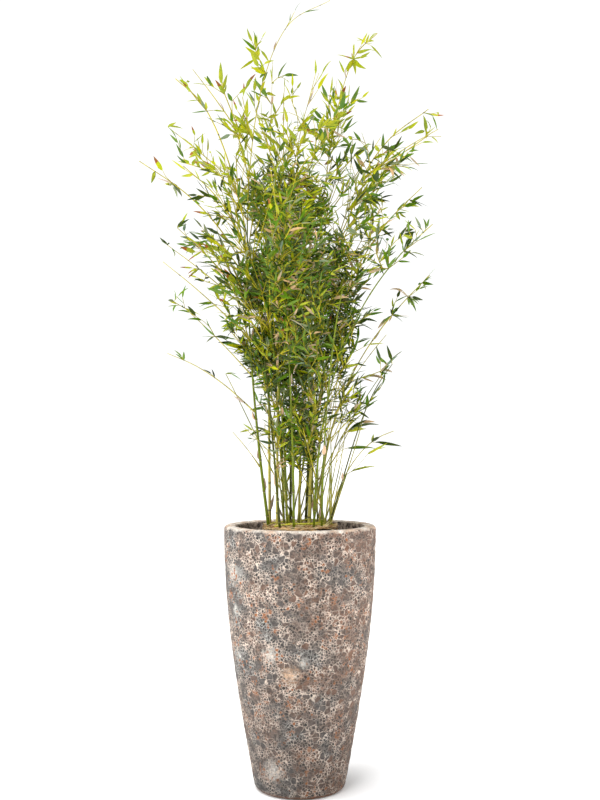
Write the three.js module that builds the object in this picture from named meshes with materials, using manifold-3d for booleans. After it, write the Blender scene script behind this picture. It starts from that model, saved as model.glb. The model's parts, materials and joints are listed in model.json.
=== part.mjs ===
// Clump bamboo in a tall crater-glazed pot. Millimetres, +Z up, -Y is the front.
// The origin is the centre of the pot's flat underside.
import * as THREE from 'three';
import { mergeVertices } from 'three/addons/utils/BufferGeometryUtils.js';
import Module from 'manifold-3d';

const wasm = await Module();
wasm.setup();

// ---- Driving dimensions ----

const GAP = 0.3; // air left between touching solids
const POT = {
  height: 690,
  footRadius: 118, // outer wall, carried down to the floor
  rimRadius: 200,
  heel: 15, // rounding between underside and wall
  wall: 24,
  base: 30, // thickness of the bottom
  lip: 32, // width of the thickened rim
  lipDepth: 50, // the lip thins to the wall over this height
  edge: 9, // rounding of the rim's edges
  sides: 30,
};
const BALL = { top: 686, depth: 276, topRadius: 98, bottomRadius: 84, sides: 24 };
const CULM = { sides: 5, steps: 7, tipRadius: 1.1, levelFoot: true };
const BOUGH = { sides: 4, steps: 3, tipRadius: 0.9, levelFoot: false };
const MASS = { sides: 9, rows: 7 }; // facets of a leaf mass
const CLEAR = 0.6; // extra radius of the passages that limbs have through leaf masses
const UNEVEN = 0.22; // depth of a leaf mass's lumps, as a share of its thickness
const LUMPS = 3.6; // how closely the lumps follow one another over a mass

// Each culm is one cubic curve: its foot on the root ball, a shoulder that sets how it leaves the
// ground, a crook that sets where it begins to arch, and its tip.
const CULMS = {
  culm_tall_left: { radius: 4.6, foot: [-83, -8], shoulder: [-138, -20, 1095], crook: [-222, -70, 2025],
    tip: [76, -120, 2028] },
  culm_left_straight: { radius: 4.4, foot: [-81, 30], shoulder: [-84, 50, 1065], crook: [-92, 80, 1520],
    tip: [-75, 120, 1960] },
  culm_middle: { radius: 4.2, foot: [-60, -28], shoulder: [-60, -25, 1080], crook: [-58, -50, 1630],
    tip: [48, -95, 1852] },
  culm_plume_left: { radius: 3.6, foot: [-52, -60], shoulder: [-88, -62, 1145], crook: [-135, -90, 1750],
    tip: [-312, -150, 1820] },
  culm_far_left: { radius: 3.6, foot: [-43, 18], shoulder: [-50, 20, 1250], crook: [-130, 16, 1484],
    tip: [-430, 30, 1660] },
  culm_left_front: { radius: 3.4, foot: [-34, -20], shoulder: [-44, -62, 1190], crook: [-104, -120, 1476],
    tip: [-294, -140, 1604] },
  culm_back_left: { radius: 3.6, foot: [-26, 54], shoulder: [-20, 90, 1090], crook: [-52, 140, 1540],
    tip: [-46, 210, 1900] },
  culm_front_left: { radius: 3.4, foot: [-16, -76], shoulder: [-18, -110, 1060], crook: [-40, -190, 1380],
    tip: [-70, -300, 1560] },
  culm_back: { radius: 3.6, foot: [-3, 14], shoulder: [4, 90, 1100], crook: [20, 190, 1430],
    tip: [40, 310, 1580] },
  culm_tall_right: { radius: 4.4, foot: [15, 42], shoulder: [40, 44, 1155], crook: [40, 60, 1960],
    tip: [214, 130, 2040] },
  culm_far_right: { radius: 4.2, foot: [23, -14], shoulder: [40, 0, 1200], crook: [62, 30, 1650],
    tip: [347, 60, 1808] },
  culm_right: { radius: 3.6, foot: [27, 68], shoulder: [42, 110, 1160], crook: [116, 130, 1424],
    tip: [340, 150, 1618] },
  culm_right_front: { radius: 3.6, foot: [36, -50], shoulder: [44, -70, 1070], crook: [136, -90, 1300],
    tip: [338, -100, 1465] },
  culm_right_low: { radius: 3.4, foot: [52, 14], shoulder: [60, 30, 1033], crook: [182, 40, 1194],
    tip: [350, 50, 1358] },
  culm_right_skirt: { radius: 2.6, foot: [74, -36], shoulder: [122, -50, 830], crook: [152, -60, 1008],
    tip: [238, -70, 1110] },
  culm_right_foot: { radius: 2.2, foot: [79, 36], shoulder: [92, 50, 780], crook: [152, 60, 912],
    tip: [254, 70, 938] },
  culm_front_right: { radius: 3.0, foot: [56, -68], shoulder: [58, -120, 960], crook: [80, -210, 1180],
    tip: [100, -310, 1270] },
  culm_back_low: { radius: 3.0, foot: [-16, 82], shoulder: [-20, 130, 960], crook: [-60, 230, 1200],
    tip: [-100, 330, 1300] },
};

// Each bough leaves a culm at a height, and its middle is lifted by its arch.
const BOUGHS = {
  bough_plume_left: { on: 'culm_tall_left', height: 1660, radius: 2.2, arch: 12, tip: [-286, 20, 1902] },
  bough_upper_left: { on: 'culm_left_straight', height: 1530, radius: 2.2, arch: 14,
    tip: [-364, 110, 1775] },
  bough_mid_left: { on: 'culm_far_left', height: 1215, radius: 2.2, arch: 18, tip: [-360, 60, 1442] },
  bough_mid_left_front: { on: 'culm_tall_left', height: 1275, radius: 2.2, arch: 16,
    tip: [-312, -110, 1454] },
  bough_low_left: { on: 'culm_tall_left', height: 1178, radius: 2.2, arch: 14, tip: [-355, -60, 1376] },
  bough_lower_left: { on: 'culm_tall_left', height: 1080, radius: 2.0, arch: 12, tip: [-302, -25, 1260] },
  bough_skirt_left: { on: 'culm_tall_left', height: 985, radius: 2.0, arch: 40, tip: [-345, -45, 1140] },
  bough_foot_left: { on: 'culm_tall_left', height: 838, radius: 1.6, arch: 8, tip: [-176, -30, 935] },
  bough_foot_middle: { on: 'culm_left_front', height: 836, radius: 1.6, arch: 10, tip: [-144, -70, 946] },
  bough_far_right: { on: 'culm_far_right', height: 1610, radius: 2.0, arch: 14, tip: [362, -30, 1728] },
  bough_skirt_right: { on: 'culm_right_low', height: 1050, radius: 1.8, arch: 10, tip: [228, -10, 1192] },
};

// Each leaf mass runs from its base to its tip and is this thick (half width) round that line.
const MASSES = {
  leaves_top_tip: { base: [-60, -84, 1970], tip: [82, -122, 2036], girth: 20 },
  leaves_top_left: { base: [-134, -66, 1780], tip: [-98, -76, 1990], girth: 42 },
  leaves_top_middle: { base: [-66, 80, 1660], tip: [-48, 150, 1950], girth: 68 },
  leaves_top_right_tip: { base: [108, 88, 1920], tip: [220, 134, 2044], girth: 34 },
  leaves_top_right: { base: [56, 10, 1640], tip: [92, 50, 1900], girth: 60 },
  leaves_plume_left: { base: [-176, -80, 1700], tip: [-318, -104, 1860], girth: 46 },
  leaves_upper_left: { base: [-186, 86, 1600], tip: [-368, 110, 1786], girth: 44 },
  leaves_far_left: { base: [-190, 20, 1480], tip: [-440, 34, 1662], girth: 46 },
  leaves_front_left: { base: [-130, -110, 1490], tip: [-304, -144, 1616], girth: 38 },
  leaves_mid_left: { base: [-170, 30, 1320], tip: [-372, 40, 1456], girth: 52 },
  leaves_mid_left_front: { base: [-150, -110, 1330], tip: [-320, -130, 1480], girth: 46 },
  leaves_lower_left: { base: [-160, -40, 1160], tip: [-350, -50, 1330], girth: 54 },
  leaves_skirt_left: { base: [-150, -30, 1062], tip: [-355, -40, 1150], girth: 32 },
  leaves_foot_left: { base: [-110, -40, 885], tip: [-186, -40, 950], girth: 28 },
  leaves_far_right: { base: [236, 55, 1690], tip: [386, 55, 1786], girth: 44 },
  leaves_shoulder_right: { base: [128, 60, 1470], tip: [250, 44, 1668], girth: 66 },
  leaves_mid_right: { base: [180, 120, 1440], tip: [350, 150, 1610], girth: 42 },
  leaves_mid_right_front: { base: [160, -80, 1350], tip: [345, -100, 1480], girth: 42 },
  leaves_low_right: { base: [200, 50, 1210], tip: [360, 50, 1366], girth: 40 },
  leaves_skirt_right: { base: [134, -30, 930], tip: [226, -40, 1200], girth: 52 },
  leaves_foot_right: { base: [112, 60, 826], tip: [258, 62, 936], girth: 40 },
  leaves_core_top: { base: [-38, -10, 1420], tip: [-30, -10, 1650], girth: 116 },
  leaves_core_upper: { base: [-50, 0, 1240], tip: [-40, 0, 1440], girth: 124 },
  leaves_core_lower: { base: [-30, 10, 1040], tip: [-44, 10, 1250], girth: 108 },
  leaves_core_foot: { base: [6, 0, 820], tip: [-14, 0, 1050], girth: 66 },
  leaves_core_right: { base: [84, 10, 1090], tip: [100, 10, 1480], girth: 74 },
  leaves_front: { base: [16, -150, 1080], tip: [-30, -240, 1530], girth: 86 },
  leaves_back: { base: [-30, 170, 1100], tip: [4, 260, 1620], girth: 86 },
};

const FINISH = {
  pot: { color: 0x8a7c72, roughness: 0.7, metalness: 0 },
  mulch: { color: 0x8a6f4e, roughness: 0.95, metalness: 0 },
  granules: { color: 0x8a5a40, roughness: 0.95, metalness: 0 },
  culm: { color: 0xb8b03a, roughness: 0.5, metalness: 0 },
  bough: { color: 0x9aa03a, roughness: 0.55, metalness: 0 },
  leaf: { color: 0x6f9f1a, roughness: 0.7, metalness: 0 },
};

// ---- Shared helpers ----

const group = new THREE.Group();

function addMesh(name, geometry, finish) {
  const mesh = new THREE.Mesh(geometry, new THREE.MeshStandardMaterial(FINISH[finish]));
  mesh.name = name;
  group.add(mesh);
}

// A geometry with only merged positions, which is what a closed solid needs.
function closed(geometry) {
  geometry.deleteAttribute('normal');
  geometry.deleteAttribute('uv');
  return mergeVertices(geometry, 1e-3);
}

function toSolid(geometry) {
  return new wasm.Manifold(new wasm.Mesh({
    numProp: 3,
    vertProperties: new Float32Array(geometry.attributes.position.array),
    triVerts: new Uint32Array(geometry.index.array),
  }));
}

// The largest body of a cut solid, as a geometry: crumbs that a cut leaves are dropped.
function toGeometry(solid) {
  const bodies = solid.decompose().sort((a, b) => b.volume() - a.volume());
  const mesh = bodies[0].getMesh();
  const geometry = new THREE.BufferGeometry();
  geometry.setAttribute('position', new THREE.BufferAttribute(new Float32Array(mesh.vertProperties), 3));
  geometry.setIndex(new THREE.BufferAttribute(new Uint32Array(mesh.triVerts), 1));
  geometry.computeVertexNormals();
  return geometry;
}

// ---- Pot, root ball and the granules under it ----

const outerRadius = (z) => POT.footRadius
  + (POT.rimRadius - POT.footRadius) * Math.sin((Math.PI / 2) * (z / POT.height));

// The wall's inner radius: the wall is thicker towards the lip.
function innerRadius(z) {
  const lipShare = THREE.MathUtils.smoothstep(z, POT.height - POT.lipDepth, POT.height - POT.edge);
  return outerRadius(z) - THREE.MathUtils.lerp(POT.wall, POT.lip, lipShare);
}

// A round from one angle to another, in two steps.
function roundOff(centre, radius, start, end) {
  return [0, 1, 2].map((i) => {
    const a = THREE.MathUtils.lerp(start, end, i / 2);
    return new THREE.Vector2(centre[0] + radius * Math.cos(a), centre[1] + radius * Math.sin(a));
  });
}

function spread(from, to, count) {
  return Array.from({ length: count }, (_, i) => THREE.MathUtils.lerp(from, to, i / (count - 1)));
}

function turned(profile, sides) {
  const geometry = new THREE.LatheGeometry(profile, sides);
  geometry.rotateX(Math.PI / 2);
  return geometry;
}

function makePot() {
  const { height, edge, heel, base, sides } = POT;
  const wallHeights = spread(height / 6, height * 5 / 6, 5);
  const innerHeights = spread(height - POT.lipDepth, base + heel, 3);
  const topInner = innerRadius(height) + edge;
  const profile = [
    new THREE.Vector2(0, 0),
    ...roundOff([outerRadius(heel) - heel, heel], heel, -Math.PI / 2, 0),
    ...wallHeights.map((z) => new THREE.Vector2(outerRadius(z), z)),
    ...roundOff([outerRadius(height) - edge, height - edge], edge, 0, Math.PI / 2),
    ...roundOff([topInner, height - edge], edge, Math.PI / 2, Math.PI).slice(1),
    ...innerHeights.map((z) => new THREE.Vector2(innerRadius(z), z)),
    new THREE.Vector2(innerRadius(base) - heel, base),
    new THREE.Vector2(0, base),
  ];
  addMesh('pot', turned(profile, sides), 'pot');
}

function makeGranules() {
  const bottom = POT.base + GAP;
  const top = BALL.top - BALL.depth - GAP;
  // The inner wall's facets cut inside its round by this much.
  const facetLoss = (1 - Math.cos(Math.PI / POT.sides)) * POT.rimRadius;
  const side = spread(POT.base + POT.heel, top, 2)
    .map((z) => new THREE.Vector2(innerRadius(z) - facetLoss - 2, z));
  const profile = [
    new THREE.Vector2(0, bottom),
    new THREE.Vector2(innerRadius(POT.base) - POT.heel - facetLoss - 2, bottom),
    ...side,
    new THREE.Vector2(0, top),
  ];
  addMesh('granule_fill', turned(profile, POT.sides), 'granules');
}

function makeRootBall() {
  const { top, depth, topRadius, bottomRadius, sides } = BALL;
  const geometry = new THREE.CylinderGeometry(topRadius, bottomRadius, depth, sides);
  geometry.rotateX(Math.PI / 2);
  geometry.translate(0, 0, top - depth / 2);
  addMesh('root_ball', geometry, 'mulch');
}

// ---- Culms and boughs: tapering limbs along a curve ----

const UP = new THREE.Vector3(0, 0, 1);

// A cylinder bent along a curve. A culm's first section is level, so that it stands flat on its foot.
// The sections turn with the curve about the normal of the plane that the curve bends in.
function limbGeometry(curve, footRadius, { sides, steps, tipRadius, levelFoot }, extra) {
  const geometry = new THREE.CylinderGeometry(tipRadius + extra, footRadius + extra, 1, sides, steps);
  const chord = curve.getPoint(1).sub(curve.getPoint(0));
  const bend = chord.clone().cross(curve.getPoint(0.5).sub(curve.getPoint(0)));
  const isStraight = bend.lengthSq() < 1;
  const across = isStraight ? new THREE.Vector3(0, 1, 0) : bend.normalize();
  const position = geometry.attributes.position;
  for (let i = 0; i < position.count; i += 1) {
    const t = position.getY(i) + 0.5;
    const along = levelFoot && t < 1e-6 ? UP : curve.getTangent(t);
    const u = across.clone().addScaledVector(along, -across.dot(along)).normalize();
    const v = along.clone().cross(u);
    const point = curve.getPoint(t);
    point.addScaledVector(u, position.getX(i)).addScaledVector(v, -position.getZ(i));
    position.setXYZ(i, point.x, point.y, point.z);
  }
  return closed(geometry);
}

function culmCurve({ foot, shoulder, crook, tip }) {
  return new THREE.CubicBezierCurve3(
    new THREE.Vector3(foot[0], foot[1], BALL.top + GAP),
    new THREE.Vector3(...shoulder),
    new THREE.Vector3(...crook),
    new THREE.Vector3(...tip),
  );
}

// The point of a rising curve at a height, by halving.
function pointAtHeight(curve, height) {
  let low = 0;
  let high = 1;
  while (high - low > 1e-5) {
    const middle = (low + high) / 2;
    if (curve.getPoint(middle).z < height) low = middle;
    else high = middle;
  }
  return curve.getPoint(low);
}

function boughCurve({ on, height, arch, tip }) {
  const start = pointAtHeight(culmCurve(CULMS[on]), height);
  const end = new THREE.Vector3(...tip);
  const middle = start.clone().lerp(end, 0.5);
  middle.z += arch;
  return new THREE.QuadraticBezierCurve3(start, middle, end);
}

const limbs = new Map(); // name: (extra radius) => geometry
for (const [name, spec] of Object.entries(CULMS)) {
  limbs.set(name, (extra) => limbGeometry(culmCurve(spec), spec.radius, CULM, extra));
}
for (const [name, spec] of Object.entries(BOUGHS)) {
  limbs.set(name, (extra) => limbGeometry(boughCurve(spec), spec.radius, BOUGH, extra));
}

function makeLimbs() {
  for (const name of Object.keys(CULMS)) addMesh(name, limbs.get(name)(0), 'culm');
  for (const [name, { on }] of Object.entries(BOUGHS)) {
    const bough = toSolid(limbs.get(name)(0)).subtract(toSolid(limbs.get(on)(GAP)));
    addMesh(name, toGeometry(bough), 'bough');
  }
}

// ---- Leaf masses ----

const random = THREE.MathUtils.seededRandom;
const randomSpan = () => 2 * random() - 1;

// The lumps of one mass: a smooth uneven field over directions, between about -1 and 1.
function lumpField(seed) {
  random(seed);
  const waves = Array.from({ length: 5 }, () => ({
    way: new THREE.Vector3(randomSpan(), randomSpan(), randomSpan()).setLength(LUMPS),
    phase: random() * Math.PI * 2,
  }));
  return (ball) => waves.reduce((sum, w) => sum + Math.sin(w.way.dot(ball) + w.phase), 0) / 2.5;
}

// An uneven solid round the line from base to tip: a ball stretched along it, swollen by its lumps.
function massGeometry({ base, tip, girth }, seed, extra) {
  const geometry = closed(new THREE.SphereGeometry(1, MASS.sides, MASS.rows));
  const from = new THREE.Vector3(...base);
  const to = new THREE.Vector3(...tip);
  const middle = from.clone().lerp(to, 0.5);
  const along = to.clone().sub(from);
  const half = along.length() / 2;
  along.normalize();
  const side = new THREE.Vector3(0, 1, 0).cross(along).normalize();
  const front = along.clone().cross(side);
  const lump = lumpField(seed);
  const position = geometry.attributes.position;
  for (let i = 0; i < position.count; i += 1) {
    const ball = new THREE.Vector3().fromBufferAttribute(position, i);
    const size = girth * (1 + UNEVEN * lump(ball)) + extra;
    const point = middle.clone()
      .addScaledVector(along, ball.y * (half + extra))
      .addScaledVector(side, ball.x * size)
      .addScaledVector(front, -ball.z * size);
    position.setXYZ(i, point.x, point.y, point.z);
  }
  return geometry;
}

// Each mass gives way to the limbs that pass through it and to the masses made before it.
function makeMasses() {
  const passages = [...limbs.values()].map((limb) => toSolid(limb(CLEAR)));
  const taken = [];
  Object.entries(MASSES).forEach(([name, spec], i) => {
    let mass = toSolid(massGeometry(spec, i + 1, 0));
    for (const cutter of [...passages, ...taken]) mass = mass.subtract(cutter);
    taken.push(toSolid(massGeometry(spec, i + 1, CLEAR)));
    addMesh(name, toGeometry(mass), 'leaf');
  });
}

makePot();
makeGranules();
makeRootBall();
makeLimbs();
makeMasses();

export default group;
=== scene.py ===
"""A clump bamboo on its root ball in a tall pot with a crater glaze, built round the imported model."""

import json
from functools import lru_cache

import bmesh
import bpy
import numpy as np
from bpy.props import FloatProperty, FloatVectorProperty, IntProperty, PointerProperty
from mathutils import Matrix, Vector
from mathutils.bvhtree import BVHTree

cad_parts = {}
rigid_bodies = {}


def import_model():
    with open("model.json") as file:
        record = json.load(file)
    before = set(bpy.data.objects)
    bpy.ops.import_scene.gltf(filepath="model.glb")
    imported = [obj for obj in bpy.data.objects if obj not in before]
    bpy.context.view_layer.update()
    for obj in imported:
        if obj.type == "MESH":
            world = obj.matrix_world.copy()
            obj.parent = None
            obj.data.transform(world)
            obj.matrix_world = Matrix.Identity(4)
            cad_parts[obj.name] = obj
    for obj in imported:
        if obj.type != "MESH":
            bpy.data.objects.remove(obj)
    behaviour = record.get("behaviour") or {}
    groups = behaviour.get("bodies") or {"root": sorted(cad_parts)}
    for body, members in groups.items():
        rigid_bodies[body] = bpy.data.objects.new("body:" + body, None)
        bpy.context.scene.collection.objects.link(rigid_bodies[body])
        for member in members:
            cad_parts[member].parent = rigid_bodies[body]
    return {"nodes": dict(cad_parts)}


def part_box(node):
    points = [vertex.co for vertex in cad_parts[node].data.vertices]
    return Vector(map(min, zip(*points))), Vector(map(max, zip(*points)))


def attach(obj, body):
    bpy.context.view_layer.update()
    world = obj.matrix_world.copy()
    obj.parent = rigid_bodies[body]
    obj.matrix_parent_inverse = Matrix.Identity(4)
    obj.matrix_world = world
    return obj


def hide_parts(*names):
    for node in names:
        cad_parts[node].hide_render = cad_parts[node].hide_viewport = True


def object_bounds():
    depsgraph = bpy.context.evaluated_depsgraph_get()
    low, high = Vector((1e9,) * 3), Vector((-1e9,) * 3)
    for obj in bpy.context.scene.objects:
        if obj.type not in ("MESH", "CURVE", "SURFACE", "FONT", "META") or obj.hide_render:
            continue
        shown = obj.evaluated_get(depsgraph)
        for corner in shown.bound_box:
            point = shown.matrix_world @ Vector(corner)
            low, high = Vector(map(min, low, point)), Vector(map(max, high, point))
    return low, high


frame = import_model()
CAD_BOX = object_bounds()

bl_info = {
    "name": "Potted Clump Bamboo",
    "version": (1, 0, 0),
    "blender": (4, 5, 0),
    "location": "3D View > Sidebar > Bamboo",
    "description": "Builds a crater-glazed pot, a root ball, canes, twigs and leaves round a packed model",
    "category": "Object",
}

MM = 0.001
UP = np.array([0.0, 0.0, 1.0])

# Each thing that grows or lies by chance has its own seed.
CROWN_SEED, BLADE_SEED, CANE_SEED, SHEATH_SEED, GRANULE_SEED, BALL_SEED = 20, 31, 4, 8, 5, 11

# ---- What the frame gives ----

CULM_NODES = sorted(n for n in frame["nodes"] if n.startswith("culm_"))
BOUGH_NODES = sorted(n for n in frame["nodes"] if n.startswith("bough_"))
MASS_NODES = sorted(n for n in frame["nodes"] if n.startswith("leaves_"))
POT_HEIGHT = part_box("pot")[1].z
POT_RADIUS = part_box("pot")[1].y
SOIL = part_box("root_ball")[1].z
BALL_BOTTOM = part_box("root_ball")[0].z
BALL_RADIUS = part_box("root_ball")[1].x
FILL_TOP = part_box("granule_fill")[1].z


def linear(code):
    """An sRGB hex colour as linear red, green and blue."""
    parts = [int(code[i:i + 2], 16) / 255 for i in (1, 3, 5)]
    return tuple(p / 12.92 if p <= 0.04045 else ((p + 0.055) / 1.055) ** 2.4 for p in parts)


def tint(name, description, code):
    """A colour setting, given as an sRGB hex value."""
    return FloatVectorProperty(name=name, description=description, subtype="COLOR", size=3,
                               min=0, max=1, default=linear(code))


def length(name, description, default):
    """A length setting in metres."""
    return FloatProperty(name=name, description=description, subtype="DISTANCE", unit="LENGTH",
                         min=0, default=default)


# ---- Settings ----

class PotSettings(bpy.types.PropertyGroup):
    foot_radius: length("Foot radius", "Outer wall's radius, carried down to the floor", 118 * MM)
    heel: length("Heel", "Rounding between the underside and the wall", 15 * MM)
    base: length("Base", "Thickness of the pot's bottom", 30 * MM)
    wall: length("Wall", "Thickness of the wall under the lip", 24 * MM)
    lip: length("Lip", "Thickness of the wall at the rim", 32 * MM)
    edge: length("Edge", "Rounding of the rim's edges", 9 * MM)
    coarse_cell: length("Large craters", "Usual width of the large craters", 15 * MM)
    fine_cell: length("Small craters", "Usual width of the small craters", 7 * MM)
    relief: length("Relief", "How far the crater walls stand out of the glaze", 1.3 * MM)
    wall_tint: tint("Crater walls", "Rims of burst bubbles, cream", "#f0dccb")
    pale_tint: tint("Milky glaze", "Patches of thick milky glaze", "#c2bfb8")
    grey_tint: tint("Grey glaze", "Crater floors, slate grey", "#4a4440")
    taupe_tint: tint("Taupe glaze", "Crater floors, brown grey", "#634a3b")
    rust_tint: tint("Rust glaze", "Iron-rich crater floors", "#94592c")
    peach_tint: tint("Peach glaze", "Warm patches and the rim's inner edge", "#cfab8b")
    rim_tint: tint("Rim glaze", "Smooth glaze on the rim", "#f3e8dc")
    # Pits: near black, painted shade for the inside of the open pits.
    pit_shade_tint: tint("Pits", "Deep open pits", "#1e1917")
    bare_dark_tint: tint("Dark stoneware", "Darkest tone of the unglazed inside and underside", "#241a16")
    bare_pale_tint: tint("Pale stoneware", "Palest tone of the unglazed inside and underside", "#b9a799")


class BallSettings(bpy.types.PropertyGroup):
    chips: IntProperty(name="Chips", description="Wood chips on the root ball", min=0, default=800)
    straws: IntProperty(name="Straws", description="Straw and root fibres", min=0, default=330)
    roots: IntProperty(name="Roots", description="Roots matted over the ball's side", min=0, default=260)
    granules: IntProperty(name="Granules", description="Clay granules in view", min=0, default=520)
    peat_tint: tint("Peat", "Damp compost between the roots", "#4a3827")
    chip_tint: tint("Chips", "Weathered wood chips", "#ad8a5c")
    straw_tint: tint("Straw", "Dry straw and fibres", "#ead6a2")
    clay_tint: tint("Clay", "Fired clay granules", "#6d4231")
    root_dark_tint: tint("Dark roots", "Older roots", "#8a6238")
    root_pale_tint: tint("Pale roots", "Younger roots", "#c79a62")
    runner_dark_tint: tint("Dark runners", "Shaded parts of the green runners", "#a9ad20")
    runner_pale_tint: tint("Pale runners", "Ripened parts of the green runners", "#d3cf3c")


class CaneSettings(bpy.types.PropertyGroup):
    internode: length("Internode", "Usual distance between the rings of a culm", 80 * MM)
    green_tint: tint("Green cane", "Young green cane", "#626f0c")
    yellow_tint: tint("Yellow cane", "Cane ripened in the sun", "#a9a04a")
    olive_tint: tint("Olive cane", "Older cane", "#454a0a")
    scar_tint: tint("Scar", "Sheath scars at the rings", "#4a3422")
    bloom_tint: tint("Bloom", "Waxy band under each ring", "#858c46")
    sheath_tint: tint("Sheath", "Papery sheaths round the rings", "#bda58f")
    twig_tint: tint("Twigs", "Leaf-bearing twigs", "#a3991f")


class LeafSettings(bpy.types.PropertyGroup):
    blade_length: length("Blade length", "Usual length of a blade", 41 * MM)
    blade_width: FloatProperty(name="Blade width", description="Blade width as a share of its length",
                               min=0.05, max=0.5, default=0.225)
    spacing: length("Spray spacing", "Usual distance between sprays in the crown's core", 20.5 * MM)
    shoots: IntProperty(name="Shoots", description="Thin stems between the culms", min=0, default=33)
    bright_tint: tint("Bright", "New blades", "#9ba40c")
    fresh_tint: tint("Fresh", "Blades of the season", "#527408")
    # Deep blades are laid more thickly in the core and on the right side as painted shade.
    deep_tint: tint("Deep", "Older blades", "#314208")
    silver_tint: tint("Silver", "Grey-green blades", "#7a8662")
    rust_tint: tint("Rust", "Scorched tips", "#8a5526")
    dry_tint: tint("Dry", "Dead blades", "#b09873")


class StageSettings(bpy.types.PropertyGroup):
    floor_size: length("Floor", "Half the width of the floor", 60.0)
    floor_tint: tint("Floor colour", "Pale matt paper", "#f8f8f8")
    focal_length: FloatProperty(name="Focal length", description="Lens in millimetres", default=47.2)
    distance: length("Distance", "From the camera to the pot's axis", 2.776)
    eye_height: length("Eye height", "Camera above the floor", 0.93)
    rise: FloatProperty(name="Rise", description="Upward shift as a share of the height", default=0.0425)


# ---- Mesh tools ----

def unit(vectors):
    return vectors / np.maximum(np.linalg.norm(vectors, axis=-1, keepdims=True), 1e-12)


def add_piece(name, points, faces, materials, face_slots=None, smooth=True, replaced=()):
    """A piece that rides on the plant's only body. faces holds index arrays, one for each corner count."""
    mesh = bpy.data.meshes.new(name)
    mesh.vertices.add(len(points))
    mesh.vertices.foreach_set("co", np.ascontiguousarray(points, dtype=np.float32).ravel())
    corner_counts = np.concatenate([np.full(len(f), f.shape[1]) for f in faces])
    loops = np.concatenate([f.ravel() for f in faces])
    mesh.loops.add(len(loops))
    mesh.loops.foreach_set("vertex_index", loops.astype(np.int32))
    mesh.polygons.add(len(corner_counts))
    starts = np.concatenate([[0], np.cumsum(corner_counts)[:-1]])
    mesh.polygons.foreach_set("loop_start", starts.astype(np.int32))
    if face_slots is not None:
        mesh.polygons.foreach_set("material_index", np.asarray(face_slots, dtype=np.int32))
    mesh.polygons.foreach_set("use_smooth", np.full(len(corner_counts), smooth))
    mesh.update(calc_edges=True)
    for material in materials:
        mesh.materials.append(material)
    piece = bpy.data.objects.new(name, mesh)
    bpy.context.scene.collection.objects.link(piece)
    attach(piece, "root")
    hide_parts(*replaced)
    return piece


def lathe(profile, columns):
    """A closed skin turned from (radius, height) pairs that start and end on the axis."""
    profile = np.asarray(profile, dtype=float)
    rows = profile[1:-1]
    angles = np.arange(columns) / columns * 2 * np.pi
    points = np.empty((len(rows), columns, 3))
    points[:, :, 0] = rows[:, :1] * np.cos(angles)
    points[:, :, 1] = rows[:, :1] * np.sin(angles)
    points[:, :, 2] = rows[:, 1:]
    points = np.concatenate([points.reshape(-1, 3), [[0, 0, profile[0, 1]], [0, 0, profile[-1, 1]]]])
    here = np.arange(columns)
    after = np.roll(here, -1)
    base = (np.arange(len(rows) - 1) * columns)[:, None]
    quads = np.stack([base + here, base + after, base + columns + after, base + columns + here], axis=2)
    last = (len(rows) - 1) * columns
    low_fan = np.stack([after, here, np.full(columns, len(points) - 2)], axis=1)
    high_fan = np.stack([last + here, last + after, np.full(columns, len(points) - 1)], axis=1)
    return points, [quads.reshape(-1, 4), np.concatenate([low_fan, high_fan])]


def tubes(lines, sides):
    """Closed tapering tubes round many lines, each a pair of points and radii, as one mesh."""
    angles = np.arange(sides) / sides * 2 * np.pi
    here = np.arange(sides)
    after = np.roll(here, -1)
    skins, quads, caps = [], [], []
    count = 0
    for points, radii in lines:
        along = unit(np.gradient(points, axis=0))
        guide = np.eye(3)[np.abs(along.mean(axis=0)).argmin()]
        across = unit(guide - along * (along @ guide)[:, None])
        up = np.cross(along, across)
        ring = across[:, None] * np.cos(angles)[None, :, None] + up[:, None] * np.sin(angles)[None, :, None]
        skins += [(points[:, None] + ring * np.asarray(radii)[:, None, None]).reshape(-1, 3),
                  points[:1], points[-1:]]
        base = (count + np.arange(len(points) - 1) * sides)[:, None]
        quads.append(np.stack([base + here, base + after, base + sides + after, base + sides + here],
                              axis=2).reshape(-1, 4))
        end = count + (len(points) - 1) * sides
        hub = count + len(points) * sides
        caps.append(np.stack([count + after, count + here, np.full(sides, hub)], axis=1))
        caps.append(np.stack([end + here, end + after, np.full(sides, hub + 1)], axis=1))
        count = hub + 2
    return np.concatenate(skins), [np.concatenate(quads), np.concatenate(caps)]


def scattered(shape_points, shape_faces, places, turns, scales):
    """Copies of one small shape joined into one mesh. turns are matrices whose rows are the new axes."""
    points = np.einsum("nij,vi,ni->nvj", turns, shape_points, scales) + places[:, None]
    offsets = (np.arange(len(places)) * len(shape_points))[:, None, None]
    faces = [(f[None] + offsets).reshape(-1, f.shape[1]) for f in shape_faces]
    return points.reshape(-1, 3), faces


def axes_for(directions, normals):
    """Matrices whose rows are a direction, the side and the normal made square to it."""
    directions = unit(directions)
    sides = unit(np.cross(normals, directions))
    return np.stack([directions, sides, np.cross(directions, sides)], axis=1)


# ---- Node tools ----

def first_output(node):
    """A node's first output that its settings leave in use."""
    return next(s for s in node.outputs if s.enabled)


def add(tree, kind, inputs=None, **settings):
    """Adds a node with its settings. An input takes a value, a socket, or a node for its first output."""
    node = tree.nodes.new(kind)
    for key, value in settings.items():
        setattr(node, key, value)
    for key, value in (inputs or {}).items():
        if isinstance(value, bpy.types.Node):
            value = first_output(value)
        if isinstance(value, bpy.types.NodeSocket):
            tree.links.new(value, node.inputs[key])
        else:
            node.inputs[key].default_value = value
    return node


def rgba(colour):
    return (*colour, 1)


def new_material(name, roughness, ior=1.5):
    """A material with one Principled shader whose plain values are set on its own sockets."""
    material = bpy.data.materials.new(name)
    material.use_nodes = True
    shader = material.node_tree.nodes["Principled BSDF"]
    shader.inputs["Roughness"].default_value = roughness
    shader.inputs["IOR"].default_value = ior
    return material, material.node_tree, shader


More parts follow.
